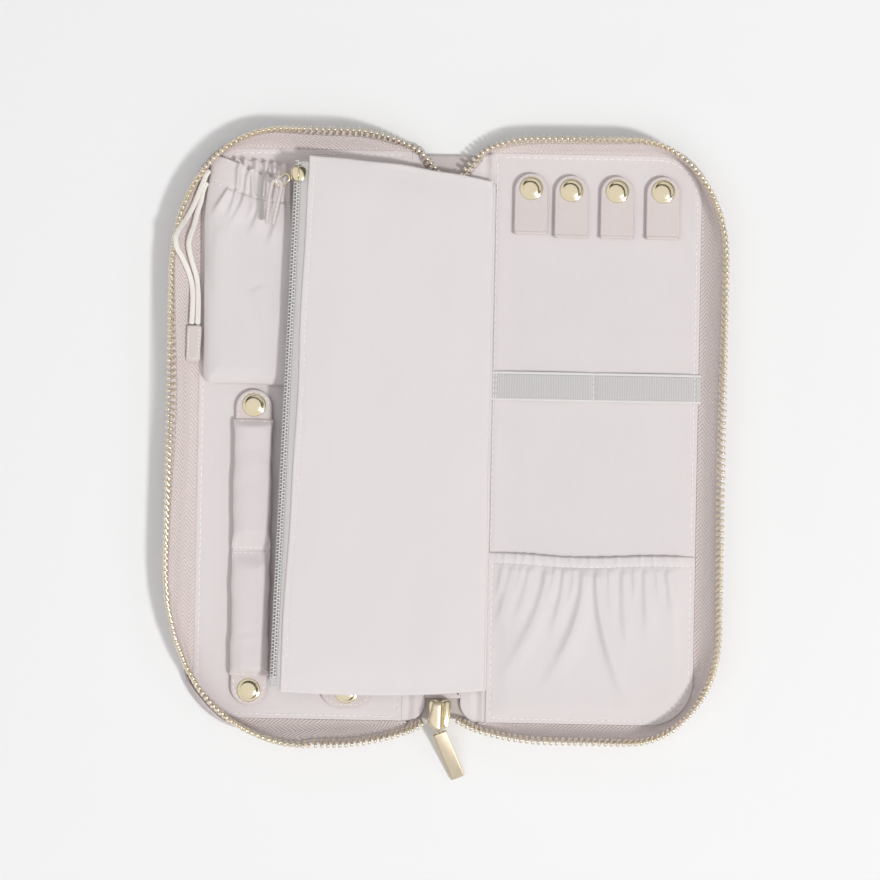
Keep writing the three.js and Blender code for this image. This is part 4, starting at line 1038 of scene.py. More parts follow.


# Gathered pocket
# Folds: start, middle, end, width and height, in millimetres
POCKET_FOLDS = (
    ((65, -55), (64, -82), (83, -120), 2.3, 1.5), ((59, -55), (61, -80), (39, -113), 2.4, 1.3),
    ((43.5, -55), (43, -78), (21, -109), 2.3, 1.1), ((29, -55), (28, -66), (20.5, -86), 1.7, 0.8),
    ((51, -55), (51, -70), (44, -90), 1.8, 0.9), ((76.3, -55), (76, -74), (80, -96), 2.0, 0.9),
    ((85.4, -55), (86, -68), (88, -90), 1.8, 0.8), ((95, -55), (96, -64), (99, -78), 1.7, 0.7),
    ((36, -55), (36, -66), (29, -82), 1.6, 0.75), ((70.5, -55), (70, -66), (73, -80), 1.5, 0.7),
    ((47, -55), (47, -62), (43, -72), 1.3, 0.5), ((90.5, -55), (91, -62), (93, -72), 1.4, 0.5),
    ((80.6, -55), (81, -62), (82, -72), 1.3, 0.5), ((24.5, -55), (24, -62), (22, -70), 1.3, 0.5),
    ((55, -55), (56, -62), (52, -74), 1.4, 0.6), ((32.5, -55), (32, -60), (30, -68), 1.2, 0.45),
)
POCKET_DEPTH = 72.75


def ridge_height(x, y, ridges):
    """Sum of soft ridges along given curves, each steeper on its left."""
    total = np.zeros_like(x)
    for a, b, c, wide, high in ridges:
        line = bezier(np.array(a), np.array(b), np.array(c), np.linspace(0, 1, 22)[:, None])
        nearest = np.full(x.shape, 1e9)
        at, side = np.zeros_like(x), np.zeros_like(x)
        for k in range(len(line) - 1):
            step = line[k + 1] - line[k]
            share = ((x - line[k, 0]) * step[0] + (y - line[k, 1]) * step[1]) / np.dot(step, step)
            share = np.clip(share, 0, 1)
            dx, dy = x - line[k, 0] - share * step[0], y - line[k, 1] - share * step[1]
            gap = np.hypot(dx, dy)
            better = gap < nearest
            nearest = np.where(better, gap, nearest)
            at = np.where(better, (k + share) / (len(line) - 1), at)
            side = np.where(better, np.sign(dx), side)
        width = wide * np.where(side > 0, 1.35, 0.62) * (1 + 0.9 * at)
        fade = smooth_step(at / 0.1 + 0.2) * smooth_step((1 - at) / 0.5)
        total += high * bell(nearest / width) * fade
    return total


def add_pocket():
    """Cloth pocket, gathered on elastic along its top and fuller below, with its hem."""
    left, right = 18.3, PANEL_EDGE_X - 0.3
    low_y = -PANEL_HALF_Y + 0.3
    radius = PANEL_CORNER_R - 0.3
    rng = random.Random(7)
    gathers = []
    x = left + 4
    while x < right - 3:
        gathers.append((x, rng.uniform(0.7, 1.5), rng.uniform(0.45, 1.0), rng.uniform(-0.16, 0.16)))
        x += rng.uniform(3.2, 7.0)

    us = np.linspace(0, 1, 241)
    us = np.concatenate([[0, 0.0015, 0.004], us[2:-2], [0.996, 0.9985, 1]])
    vs = np.concatenate([np.linspace(0, 5.2, 19), np.linspace(5.8, 68, 96),
                         [69, 70, 70.8, 71.4, 71.9, 72.3, 72.6, 72.75]])
    lip = -49.3 + 0.45 * np.sin(us * 9 + 0.7) - 0.7 * np.sin(np.pi * us)
    for gx, wide, high, _ in gathers:
        lip = lip + 0.22 * high * bell((left + (right - left) * us - gx) / (wide * 1.2))
    y = lip + (low_y - lip) * vs[:, None] / POCKET_DEPTH
    over = np.clip(low_y + radius - y, 0, radius)
    reach = right - radius + np.sqrt(radius ** 2 - over ** 2)
    x = left + (reach - left) * us
    down = lip - y
    qx, qy = x - (right - radius), low_y + radius - y
    near = np.where((qx > 0) & (qy > 0), radius - np.hypot(np.maximum(qx, 0), np.maximum(qy, 0)),
                    np.minimum(np.minimum(x - left, right - x), y - low_y))
    near = np.maximum(near, 0)
    side = np.minimum(smooth_step((x - left) / 15), smooth_step((reach - x) / 10))
    body = smooth_step(near / 9) * (0.55 + 0.45 * side)
    height = 0.5 + (1.3 * bell((down - 20) / 32.0) + 0.5) * body
    for gx, wide, high, lean in gathers:
        pinch = bell((x - gx - lean * down) / (wide * (0.75 + down / 11.0)))
        height = height + high * 0.6 * pinch * np.exp(-down / 9.0) * smooth_step(near / 4)
    height = height + 1.35 * ridge_height(x, y, POCKET_FOLDS) * smooth_step(near / 5)
    height = height + 0.10 * np.sin(x / 4.1 + y / 9.0) * np.sin(y / 6.1) * body
    # Casing of the elastic: a rolled lip, and the sewn channel under it
    height = height - 0.42 * bell((down - 4.3) / 0.55) * smooth_step(near / 2)
    height = height + 0.22 * bell((down - 2.0) / 1.5)
    height = height * smooth_step(down / 0.9 + 0.35)
    # Flat sewn border with its line of stitches
    border = 1 - smooth_step((near - 1.2) / 1.6)
    border = np.where(down < 6, border * smooth_step(down / 6), border)
    height = height * (1 - border) + 0.48 * border
    height = height - 0.14 * bell((near - 1.9) / 0.5) * smooth_step((down - 4) / 2)
    height = height * smooth_step(near / 0.35 + 0.3)
    z = FLOOR_Z + 0.08 + np.maximum(height, 0.12)
    # It stays under the page, which hangs lower towards its hinge
    ceiling = 6.35 + np.maximum(x - PAGE_AXIS[0], 0) * 0.085
    z = np.maximum(ceiling - np.log1p(np.exp((ceiling - z) * 4)) / 4, FLOOR_Z + 0.2)
    top = stack(x, y, z)
    made = closed_grid(top, stack(x, y, np.maximum(FLOOR_Z + 0.03, z - 0.6)))
    piece("elastic_pocket_cloth", made, "right_half", "lining", "elastic_pocket", "pocket")
    turn = np.linspace(0, math.pi / 2, 16)
    bend = radius - 1.9
    arc = stack(right - radius + bend * np.sin(turn), low_y + radius - bend * np.cos(turn))
    line = [(left + 1.9, -53.5), (left + 1.9, low_y + 1.9), (right - radius, low_y + 1.9), *arc,
            (right - 1.9, -53.5)]
    border_line = even_points([(a, b, FLOOR_Z + 0.52) for a, b in line], 0.8)
    hem = top[int(np.argmin(np.abs(vs - 4.3))), 6:-6] + np.array([0, 0, 0.05])
    sew("elastic_pocket_stitches", "right_half", "lining", (border_line, 3.1, 2.3, 0.5),
        (even_points(hem, 0.6), 2.4, 1.7, 0.42))


add_pocket()


# Ring strap and bracelet strap: stuffed cloth rolls with a snapped leather tab
def cloth_roll(x, width, y0, y1, rest_z, thin_top, full_top, seed, pinch=(0.16, 0.07)):
    """Padded roll that is pinched flat at both ends, with small folds running from each pinch."""
    rng = random.Random(seed)
    creases = [(rng.uniform(-0.8, 0.8), rng.uniform(0.05, 0.11), rng.uniform(0.15, 0.4), rng.random() < 0.5)
               for _ in range(9)]
    dents = [(rng.uniform(0.15, 0.85), rng.uniform(0.03, 0.07), rng.uniform(0.12, 0.34),
              rng.uniform(-0.6, 0.6)) for _ in range(6)]
    rings = []
    for v in np.linspace(0, 1, 64):
        puff = float(smooth_step(v / pinch[0]) * smooth_step((1 - v) / pinch[1]))
        top = thin_top + (full_top - thin_top) * puff
        low = rest_z + (thin_top - rest_z - 1.4) * (1 - puff)
        half = width / 2 * (1 - 0.045 * puff) + 0.22 * math.sin(v * 11 + seed) + 0.12 * math.sin(v * 27)
        a, b = round_section(2.0, 2.0, 36, 2.0 + 1.3 * (1 - puff)).T
        z = (top + low) / 2 + b * (top - low) / 2
        upper = np.maximum(b, 0)
        for cx, wide, high, first in creases:
            z = z + high * bell((a - cx) / wide) * math.exp(-(v if first else 1 - v) / 0.13) * upper * 0.9
        for cv, wide, deep, tilt in dents:
            z = z - deep * bell((v - cv - tilt * a * 0.05) / wide) * upper * puff
        rings.append(stack(x + a * half, y0 + (y1 - y0) * v, z))
    return loft(rings)


def cross_stitches(x, width, y, z):
    line = even_points([(x - width / 2 + 0.8, y, z), (x + width / 2 - 0.8, y, z)], 0.5)
    return line, 2.1, 1.5, 0.45


RING_STRAP = (("ring_strap_upper", -49.97, 6.2, 3), ("ring_strap_lower", -50.03, -104.0, 5))
STRAP_TAB_Z = FLOOR_Z + 0.95


def add_ring_strap():
    x, width = -82.9, 17.0
    for name, y0, y1, seed in RING_STRAP:
        way = 1 if y1 > y0 else -1
        roll = cloth_roll(x, width, y0, y1, FLOOR_Z + 0.42, 7.3, 10.5, seed)
        cloth = piece(name + "_cloth", roll, name, "lining", name, "strap")
        subdivide(cloth)
        sew(name + "_stitches", name, "lining", cross_stitches(x, width - 3.4, y1 - way * 1.0, 7.96),
            cross_stitches(x, width, y0 + way * 1.1, 7.42))
        end = y1 + way * 12.4
        leather = tongue(x, 15.6, y1 - way * 0.6, end, STRAP_TAB_Z, 1.4)
        piece(name + "_tab_leather", leather, name, "leather", name + "_tab")
        snap_cap(name + "_snap", x, end - way * 6.6, STRAP_TAB_Z + 1.4, name, name + "_cap")
        seam = tongue_seam(x, 15.6, y1 + way * 0.5, end, STRAP_TAB_Z + 1.36, inset=1.3, start=0.4)
        sew(name + "_tab_stitches", name, "leather", (seam, 2.2, 1.6, 0.4))
    # Sewn cloth between the two lengths, at their shared seam
    across = stack(x + np.linspace(-8.1, 8.1, 22), -50.0, 6.35)
    piece("ring_strap_seam_cloth", sweep(across, round_section(2.2, 1.7, 12, 2.6)), "left_half",
          "lining", look="strap")


def add_bracelet_strap():
    x, width, y0, y1 = -41.2, 22.4, 6.2, -104.0
    roll = cloth_roll(x, width, y0, y1, FLOOR_Z + 0.32, 6.9, 8.7, 9, pinch=(0.06, 0.06))
    cloth = piece("bracelet_strap_cloth", roll, "left_half", "lining", "bracelet_strap", "strap")
    end, corner = y1 - 12.6, width * 0.36
    leather = tongue(x, width, y1 + 0.6, end, STRAP_TAB_Z, 1.4, corner)
    piece("bracelet_tab_leather", leather, "left_half", "leather", "bracelet_strap_tab")
    snap_cap("bracelet_snap", x, end + 6.9, STRAP_TAB_Z + 1.4, "left_half", "bracelet_strap_cap")
    seam = tongue_seam(x, width, y1 - 0.4, end, STRAP_TAB_Z + 1.36, corner=corner)
    sew("bracelet_tab_stitches", "left_half", "leather", (seam, 2.2, 1.6, 0.4),
        cross_stitches(x, width, y1 + 1.4, 7.25))


add_ring_strap()
add_bracelet_strap()


# Page: a flat zipped pocket hung from the right half, and tilted up to its free edge
def on_page(points):
    """Points from the page's own frame, where X runs back from the hinge."""
    x, y, z = np.moveaxis(np.asarray(points, float), -1, 0)
    c, s = math.cos(PAGE_TILT), math.sin(PAGE_TILT)
    return stack(PAGE_AXIS[0] + x * c + z * s, y, PAGE_AXIS[1] - x * s + z * c)


def coil_outer(y):
    """X of the coil's outer edge."""
    return -(85.2 + (91.3 - 85.2) * (108 - y) / (108 + 97))


CLOTH_TOP = coil_outer(PAGE_TOP) + 2.6 + 3.5
CLOTH_BOTTOM = coil_outer(PAGE_BOTTOM) + 2.6 + 1.8


def cloth_edge(share):
    """X of the cloth's free edge, from its top to its bottom."""
    edge = CLOTH_TOP + (CLOTH_BOTTOM - CLOTH_TOP) * share
    return edge - 0.35 * np.sin(share * 9) - 0.2 * np.sin(share * 23 + 1)


def page_end(x, edge_x, root_y, middle_y, edge_y):
    """Y of one of the page's ends, which curves from its root to its free edge."""
    t = np.linspace(0, 1, 60)
    return np.interp(-x, -bezier(0.0, edge_x * 0.45, edge_x, t), bezier(root_y, middle_y, edge_y, t))


def add_page():
    us = np.array([0, 0.004, 0.012, *np.linspace(0.02, 0.955, 100), 0.966, 0.976, 0.984, 0.990, 0.995,
                   0.998, 1])
    vs = np.array([0, 0.0005, 0.002, 0.005, 0.009, *np.linspace(0.013, 0.987, 190), 0.991, 0.995, 0.998,
                   0.9995, 1])[:, None]
    edge_x = cloth_edge(vs)
    x = edge_x * us
    wave = 0.28 * np.sin(x / 5.2) * np.sin(x / 17.0 + 0.5)
    high_y = page_end(x, CLOTH_TOP, PAGE_ROOT_TOP + 0.6, PAGE_TOP - 2.2, PAGE_TOP) + wave
    low_y = page_end(x, CLOTH_BOTTOM, PAGE_ROOT_BOTTOM - 0.3, PAGE_BOTTOM - 1.2, PAGE_BOTTOM + 1.6)
    y = high_y + (low_y - high_y) * vs
    from_edge = np.abs(edge_x) - np.abs(x)
    from_end = np.minimum(high_y - y, y - low_y)
    near = np.minimum(from_edge, from_end)
    crown = smooth_step(near / 16) * 0.75 * smooth_step(np.abs(x) / 18)
    soft = 0.22 * np.sin(x / 13 + y / 37) * np.sin(y / 29 + 0.6) + 0.10 * np.sin(y / 11 - x / 6)
    soft = soft + 0.35 * bell((x + 36 + y * 0.05) / 6.0) * np.sin(y / 33 + 1.1)
    # Shallow puckers where the cloth is sewn to the zip and at the ends
    pucker = 0.10 * np.sin(y / 1.7 + np.sin(y / 7)) * np.exp(-np.maximum(from_edge - 2.2, 0) / 4.0)
    pucker = pucker + 0.12 * np.sin(x / 2.3 + 0.5) * np.exp(-np.maximum(from_end - 0.5, 0) / 5.0)
    face = 0.75 + crown + (soft + pucker) * smooth_step(near / 3) - 0.26 * bell((from_edge - 2.3) / 0.55)
    face = face * smooth_step(near / 0.8 + 0.35) * (0.3 + 0.7 * smooth_step(np.abs(x) / 3.0)) + 0.06
    back = 0.75 + 0.10 * np.sin(x / 9 + y / 31) * smooth_step(near / 6)
    back = -np.maximum(back * smooth_step(near / 0.8 + 0.4), 0.2)
    away = (on_page((-5.0, 0, 0)) * MM).tolist()
    for name, high, low in (("front", np.maximum(face, 0.22), 0.08), ("back", -0.08, back)):
        made = closed_grid(on_page(stack(x, y, high)), on_page(stack(x, y, low)))
        obj = piece(f"page_{name}_cloth", made, None, "lining", "page_" + name, "page")
        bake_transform(obj)

    # Stitches along the zip, and the piping round which the page turns
    ys = np.linspace(PAGE_TOP - 3.0, PAGE_BOTTOM + 3.4, 300)
    share = (PAGE_TOP - ys) / (PAGE_TOP - PAGE_BOTTOM)
    seam = on_page(stack(cloth_edge(share) + 2.3, ys, 0.72))
    sew("page_zip_stitches", "page", "lining", (seam, 2.5, 1.8, 0.42))
    q = np.linspace(PAGE_ROOT_TOP, PAGE_ROOT_BOTTOM, 120)
    pipe = stack(PAGE_AXIS[0] + 0.05 * np.sin(q / 9), q, PAGE_AXIS[1] - 0.1)
    piece("page_piping_cloth", sweep(pipe, round_section(1.3, 1.3, 12)), "page_hinge", "lining",
          "page_piping", "page")
    strip = grid(4, 60, lambda u, v: (
        PAGE_AXIS[0] + 0.65 * (2 * u - 1),
        PAGE_ROOT_TOP - 0.4 + (PAGE_ROOT_BOTTOM - PAGE_ROOT_TOP + 0.8) * v, PAGE_AXIS[1] - 0.75))
    low = strip.copy()
    low[..., 2] = FLOOR_Z - 0.2
    low[..., 0] += (low[..., 0] - PAGE_AXIS[0]) * 0.6
    piece("page_root_cloth", closed_grid(strip, low), "right_half", "lining", "page_root_strip", "page")


# Loops of the coil, section by section: place across, width, height and lift
COIL_RINGS = (
    (-0.34, 0.35, 0.4, 0.12), (-0.28, 0.66, 0.85, 0.1), (-0.1, 0.82, 0.95, 0.08), (0.12, 0.62, 0.72, 0.1),
    (0.8, 0.58, 0.66, 0.02), (1.12, 0.6, 0.85, -0.12), (1.26, 0.42, 0.7, -0.22),
)
COIL_PITCH = 1.5


def add_page_zip():
    """Grey tape and nylon coil on the page's free edge, sewn to the cloth."""
    y = np.linspace(PAGE_TOP - 2.4, PAGE_BOTTOM + 4.2, 150)[:, None]
    inner = CLOTH_TOP + (CLOTH_BOTTOM - CLOTH_TOP) * (PAGE_TOP - y) / (PAGE_TOP - PAGE_BOTTOM) + 1.6
    x = inner + (coil_outer(y) - 0.15 - inner) * np.linspace(0, 1, 9)
    made = closed_grid(on_page(stack(x, y, 0.12)), on_page(stack(x, y, 0.02 * np.sin(y) - 0.48)))
    piece("page_zip_tape_weave", made, "page", "grey_tape", "page_zip_tape",
          uvs=np.tile(stack(y, x).reshape(-1, 2), (2, 1)))

    ys = y[:, 0]
    centre = even_points(stack(coil_outer(ys) + 1.3, ys, 1.02), 0.5)
    forward = unit(centre[-1] - centre[0])
    across = np.array([forward[1], -forward[0], 0.0])
    up = np.array([0.0, 0.0, 1.0])
    parts = []
    for k in range(int(running_length(centre)[-1] / COIL_PITCH) - 2):
        for way, shift in ((1, 0.25), (-1, 0.75)):
            p = centre[0] + forward * COIL_PITCH * (k + shift)
            p[0] = coil_outer(p[1]) + 1.3
            parts.append(loft([
                p + across * way * t + up * lift + round_section(wide, high * 1.5, 7) @ [forward, up]
                for t, wide, high, lift in COIL_RINGS]))
    # Filler cord under the coil loops: a real part of a coil zip, but coloured dark grey as painted shade
    # between the loops
    verts, faces = sweep(centre[4:-8] - np.array([0.0, 0.0, 0.62]), round_section(1.5, 0.5, 8, 3.0))
    piece("page_zip_coil_filler_and_shade", (on_page(verts), faces), "page", "grey_tape", look="coil_filler_and_shade")
    verts, faces = joined(parts)
    piece("page_zip_coil_loops", (on_page(verts), faces), "page", "grey_tape", "page_zip_coil",
          "grey_coil")
    seam = stitches(on_page(stack(coil_outer(ys) + 2.95, ys, 0.2)), 1.8, 1.5, 0.35)
    piece("page_coil_stitches", seam, "page", "grey_tape")


add_page()
add_page_zip()


# Drawstring pouch
# Gathers under the mouth: place across, width, height and lean
POUCH_GATHERS = (
    (0.34, 0.030, 1.5, -0.0045), (0.43, 0.026, 1.1, -0.002), (0.515, 0.030, 1.6, -0.003),
    (0.60, 0.024, 1.2, 0.000), (0.68, 0.028, 1.6, -0.0035), (0.765, 0.026, 1.3, -0.001),
    (0.85, 0.030, 1.6, -0.002), (0.94, 0.026, 1.2, 0.001),
)
POUCH_FOLDS = (
    ((-95, 104), (-98, 99), (-103, 91), 1.3, 1.7), ((-88, 102), (-90, 95), (-95, 86), 1.5, 1.6),
    ((-80, 101), (-82, 92), (-87, 82), 1.5, 1.4), ((-73, 99), (-74, 88), (-79, 76), 1.6, 1.3),
    ((-92, 104), (-92, 98), (-96, 90), 1.0, 0.9), ((-84, 102), (-84, 96), (-88, 89), 1.0, 0.9),
    ((-84, 62), (-78, 48), (-69, 40), 3.5, 0.6), ((-99, 88), (-101, 66), (-97, 44), 3.5, 0.45),
)
POUCH_LENGTH = 96.6
POUCH_MIDDLE_Z = 7.0
POUCH_CORNER_R = 4.5
POUCH_RIGHT_X = -67.0


def round_rise(share):
    """Height of a quarter circle at a share of its width."""
    return np.sqrt(1 - (1 - np.clip(share, 0, 1)) ** 2)


def add_pouch():
    """Cloth pouch that lies flat, drawn together along its mouth by the cords."""
    u = np.linspace(0, 1, 150)
    down = np.concatenate([np.linspace(0, 22, 74), np.linspace(22.6, 92, 90),
                           [93, 94, 95, 95.8, 96.3, POUCH_LENGTH]])
    d = down[:, None]
    pull = smooth_step((u - 0.26) / 0.12)
    frill = 0.8 * np.sin(2 * math.pi * (u * 6.6 + 0.12 * np.sin(9 * u))) * pull
    mouth = 117.9 - 6.9 * smooth_step(u / 0.72) - 1.4 * u + frill * np.exp(-d / 6)
    low_y = 20.8 + 0.25 * np.sin(u * 5)
    y = mouth + (low_y - mouth) * d / POUCH_LENGTH
    r = POUCH_CORNER_R
    corner = np.clip(low_y + r - y, 0, r)
    left = -103.4 - 2.1 * smooth_step((d - 4) / 26) - 0.3 * np.sin(d / 12.0)
    left = left + 1.0 * smooth_step((d - 55) / 40) + 1.1 * bell((d - 0.2) / 1.6)
    left = left + r - np.sqrt(r ** 2 - corner ** 2)
    x = left + (POUCH_RIGHT_X - left) * u
    near = np.minimum(x - left, y - low_y)
    near = np.maximum(np.minimum(near, np.where(corner > 0, r - corner, near)), 0)
    rise = round_rise(near / 9.0)
    # The mouth is flatter; the gathers start at the sewn channel and fan out below it
    channel = 10.8 + 1.4 * u
    z = POUCH_MIDDLE_Z + 0.35 + 3.0 * rise - 0.9 * bell(d / 9.0) * (1 - 0.5 * pull)
    lower, upper = np.maximum(d - channel, 0), np.maximum(channel - d, 0)
    gather = 0
    for k, (gu, wide, high, lean) in enumerate(POUCH_GATHERS):
        centre = gu + lean * lower + 0.012 * math.sin(k * 2.3) * upper / 6
        width = wide * (1 + lower / 9.0) * (1 + 0.25 * upper / channel)
        gather = gather + high * bell((u - centre) / width)
    gather = gather * np.exp(-lower / 8.5) * (0.72 + 0.28 * np.minimum(upper / 3, 1))
    z = z + 1.55 * gather - 1.7 * pull * np.exp(-lower / 12)
    z = z - 0.55 * bell((d - channel) / 0.55) * (0.35 + 0.65 * pull)
    z = z + ridge_height(x, y, POUCH_FOLDS) * smooth_step(near / 5)
    z = z + 0.12 * np.sin(x / 7 + y / 15) * np.sin(y / 11) * rise
    z = z - 0.175 * bell((near - 1.0) / 0.9) * smooth_step((d - 16) / 8)
    top = stack(x, y, np.minimum(z, 13.2))
    low = stack(x, y, POUCH_MIDDLE_Z - 0.35 - 1.95 * round_rise(near / 3.0))
    piece("pouch_cloth", closed_grid(top, low), "left_half", "pouch", "pouch")
    seam = top[int(np.argmin(np.abs(down - 11.6))), 3:-4] + np.array([0, 0, 0.12])
    sew("pouch_channel_stitches", "left_half", "pouch", (even_points(seam, 0.5), 1.9, 1.35, 0.4))

    # Back lip of the mouth, a second frill behind the first
    def place(a, b):
        wave = np.sin(2 * math.pi * (a * 6.2 + 0.1 * np.sin(a * 11)))
        z = 6.6 + 1.25 * wave * (1 - 0.5 * b) + 1.0 * np.sin(np.pi * np.clip(b * 1.4, 0, 1))
        return (-93.5 + 26.0 * a, 117.4 - 2.6 * a + 0.4 * wave * (1 - b) - 11.0 * b,
                z - 1.2 * np.exp(-a / 0.05))
    piece("pouch_back_lip", slab(grid(90, 20, place), 0.55), "left_half", "pouch")


add_pouch()


# Page zip's slider, link and folded leather pull
PAGE_SLIDER_Y = 109.9
LINK_ENDS = np.array([[-69.7, 109.1, 17.3], [-73.9, 104.7, 16.7]])
PULL_ROUTE = [
    (-75.6, 88.2, 16.5), (-74.5, 94.0, 16.6), (-73.2, 100.0, 16.7), (-72.4, 104.0, 16.8),
    (-72.8, 106.3, 16.9), (-74.4, 107.2, 17.0), (-76.1, 106.3, 16.9),
    (-76.9, 103.0, 16.8), (-77.6, 97.0, 16.7), (-78.3, 88.6, 16.5),
]
PULL_SEAMS = (((-75.25, 90.0, 17.82), (-73.4, 99.6, 18.0)), ((-78.1, 90.2, 17.82), (-77.2, 99.6, 18.0)))


def slider_plate(x, y, z_low, z_high, grow):
    """One of the small slider's two plates, wider at its top end."""
    turn = 2 * np.pi * np.arange(28) / 28
    spoke = super_ellipse(28, 0.7)
    shape = stack(x + (3.0 + 0.55 * np.sin(turn) + grow) * spoke[:, 0], y + (3.2 + grow) * spoke[:, 1])
    middle = shape.mean(axis=0)
    levels = ((z_low, 0.93), (z_low + 0.12, 0.99), ((z_low + z_high) / 2, 1.0), (z_high - 0.15, 0.98),
              (z_high, 0.9))
    return loft([stack(*(middle + (shape - middle) * scale).T, z) for z, scale in levels])


def add_page_slider():
    x, y = coil_outer(PAGE_SLIDER_Y) + 1.9, PAGE_SLIDER_Y
    ring = round_section(0.7, 3.8, 12, 3.5)
    side = [stack(x - 3.1 + ring[:, 0], q, 0.6 + ring[:, 1]) for q in np.linspace(y - 2.6, y + 2.6, 9)]
    t = np.linspace(0, math.pi, 15)
    arch = stack(x - 0.3, y - 2.2 * np.cos(t), 2.8 + 1.75 * np.maximum(np.sin(t), 0) ** 0.8)
    verts, faces = joined([
        slider_plate(x, y, 2.25, 2.95, 0.0), slider_plate(x, y, -1.75, -1.15, -0.1), loft(side),
        sweep(arch, round_section(1.5, 0.75, 10, 2.6), up=(1, 0, 0))])
    piece("page_slider_body", (on_page(verts), faces), "page_slider", "gold", "page_zip_slider")

    # Link: a flat wire loop from the slider's arch to the pull
    start, end = LINK_ENDS
    along = unit(end - start)
    across = unit(np.cross(along, (0, 0, 1)))
    reach = np.linalg.norm(end - start) / 2 + 0.4
    loop = (start + end) / 2 + super_ellipse(36, (0.75, 0.6)) @ [along * reach, across * 1.75]
    forward = unit(np.roll(loop, -1, axis=0) - np.concatenate([loop[:1], loop[:-1]]))
    side = unit(np.cross(forward, (0, 0, 1)))
    section = round_section(0.85, 1.05, 10)
    rings = [p + section @ [s, np.cross(s, f)] for p, s, f in zip(loop, side, forward)]
    piece("page_zip_loop", loft(rings, closed=True), "page_pull", "gold", "page_zip_link")

    # Pull: one leather strip through the loop, folded over so that its two ends hang together
    strip = sweep(curve_points(PULL_ROUTE, 0.5), round_section(1.7, 2.6, 14, 3.4))
    subdivide(piece("page_pull_leather", strip, "page_pull", "leather", "page_zip_pull"))
    sew("page_pull_stitches", "page_pull", "leather",
        *[(even_points(seam, 0.5), 1.7, 1.2, 0.34) for seam in PULL_SEAMS])


add_page_slider()


# Main slider and its puller
# Outlines as corners, each with its own radius
SLIDER_AT = np.array((-1.0, -118.4, 0.0))
SLIDER_PLATE = ((-3.3, -6.2, 2), (3.3, -6.2, 2), (4.8, 2.0, 3), (4.6, 6.0, 2), (1.2, 6.2, 1.5),
                (0, 5.2, 0.8), (-1.2, 6.2, 1.5), (-4.6, 6.0, 2), (-4.8, 2.0, 3))
SLIDER_POST = ((-0.9, 0.4, 0.4), (0.9, 0.4, 0.4), (0.3, 5.0, 0.2), (-0.3, 5.0, 0.2))
SLIDER_CAP = ((-1.0, -6.9, 1.6), (1.15, -6.4, 0.9), (1.35, 5.6, 0.9), (-2.9, 5.7, 1.4),
              (-3.9, 1.2, 3.2), (-5.3, -2.4, 2.4), (-3.8, -5.2, 2.6))
PULLER_BAR = ((-3.1, -23.2, 0.7), (3.1, -23.2, 0.7), (3.1, -0.2, 0.5), (-3.1, -0.2, 0.5))
# Levels of a body: height, and how far the outline is drawn in
PLATE_LEVELS = ((0, 0.35), (0.15, 0.08), (0.5, 0), (0.95, 0.08), (1.1, 0.3))
CAP_LEVELS = ((0.0, 0.3), (0.2, 0.03), (0.9, 0.0), (1.6, 0.12), (2.1, 0.42), (2.42, 0.9), (2.58, 1.5),
              (2.62, 2.2))
# The bar's levels: height, and how far its sides and its ends are drawn in
BAR_LEVELS = ((-0.65, 0.25, 0.25), (-0.5, 0.04, 0.04), (0.05, 0.0, 0.0), (0.2, 0.05, 0.05),
              (0.66, 0.75, 0.28), (0.68, 0.9, 0.4))
# Low bridge along the right of the cap, which the puller hangs on
BRIDGE = ((1.9, -5.4, 9.3), (1.95, -5.0, 10.4), (2.0, -3.0, 11.0), (2.0, 2.5, 10.95), (1.95, 4.6, 10.3),
          (1.9, 5.0, 9.3))
PLATE_LOW_Z = 4.9
PLATE_TOP_Z = 8.4
PULLER_PIVOT = np.array([-1.2, -126.2, 8.6])
PULLER_TURN = math.radians(23)
PULLER_FALL = math.asin((8.6 - 0.9) / 23.2)


def rounded_polygon(corners, per_corner=6):
    """Closed line round a polygon whose corners have their own radii."""
    points = np.array([c[:2] for c in corners], float)
    t = np.linspace(0, 1, per_corner)[:, None]
    out = []
    for k, (p, (_, _, r)) in enumerate(zip(points, corners)):
        before, after = points[k - 1] - p, points[(k + 1) % len(points)] - p
        reach = min(r, np.linalg.norm(before) * 0.48, np.linalg.norm(after) * 0.48)
        out.append(bezier(p + unit(before) * reach, p, p + unit(after) * reach, t))
    return np.concatenate(out)


def dome(outline, levels, at):
    """Closed body of one outline, drawn in at each level."""
    middle = outline.mean(axis=0)
    spread = np.abs(outline - middle).max(axis=0)
    return loft([stack(*(middle + (outline - middle) * (1 - inset / spread)).T, z) + at
                 for z, inset in levels])


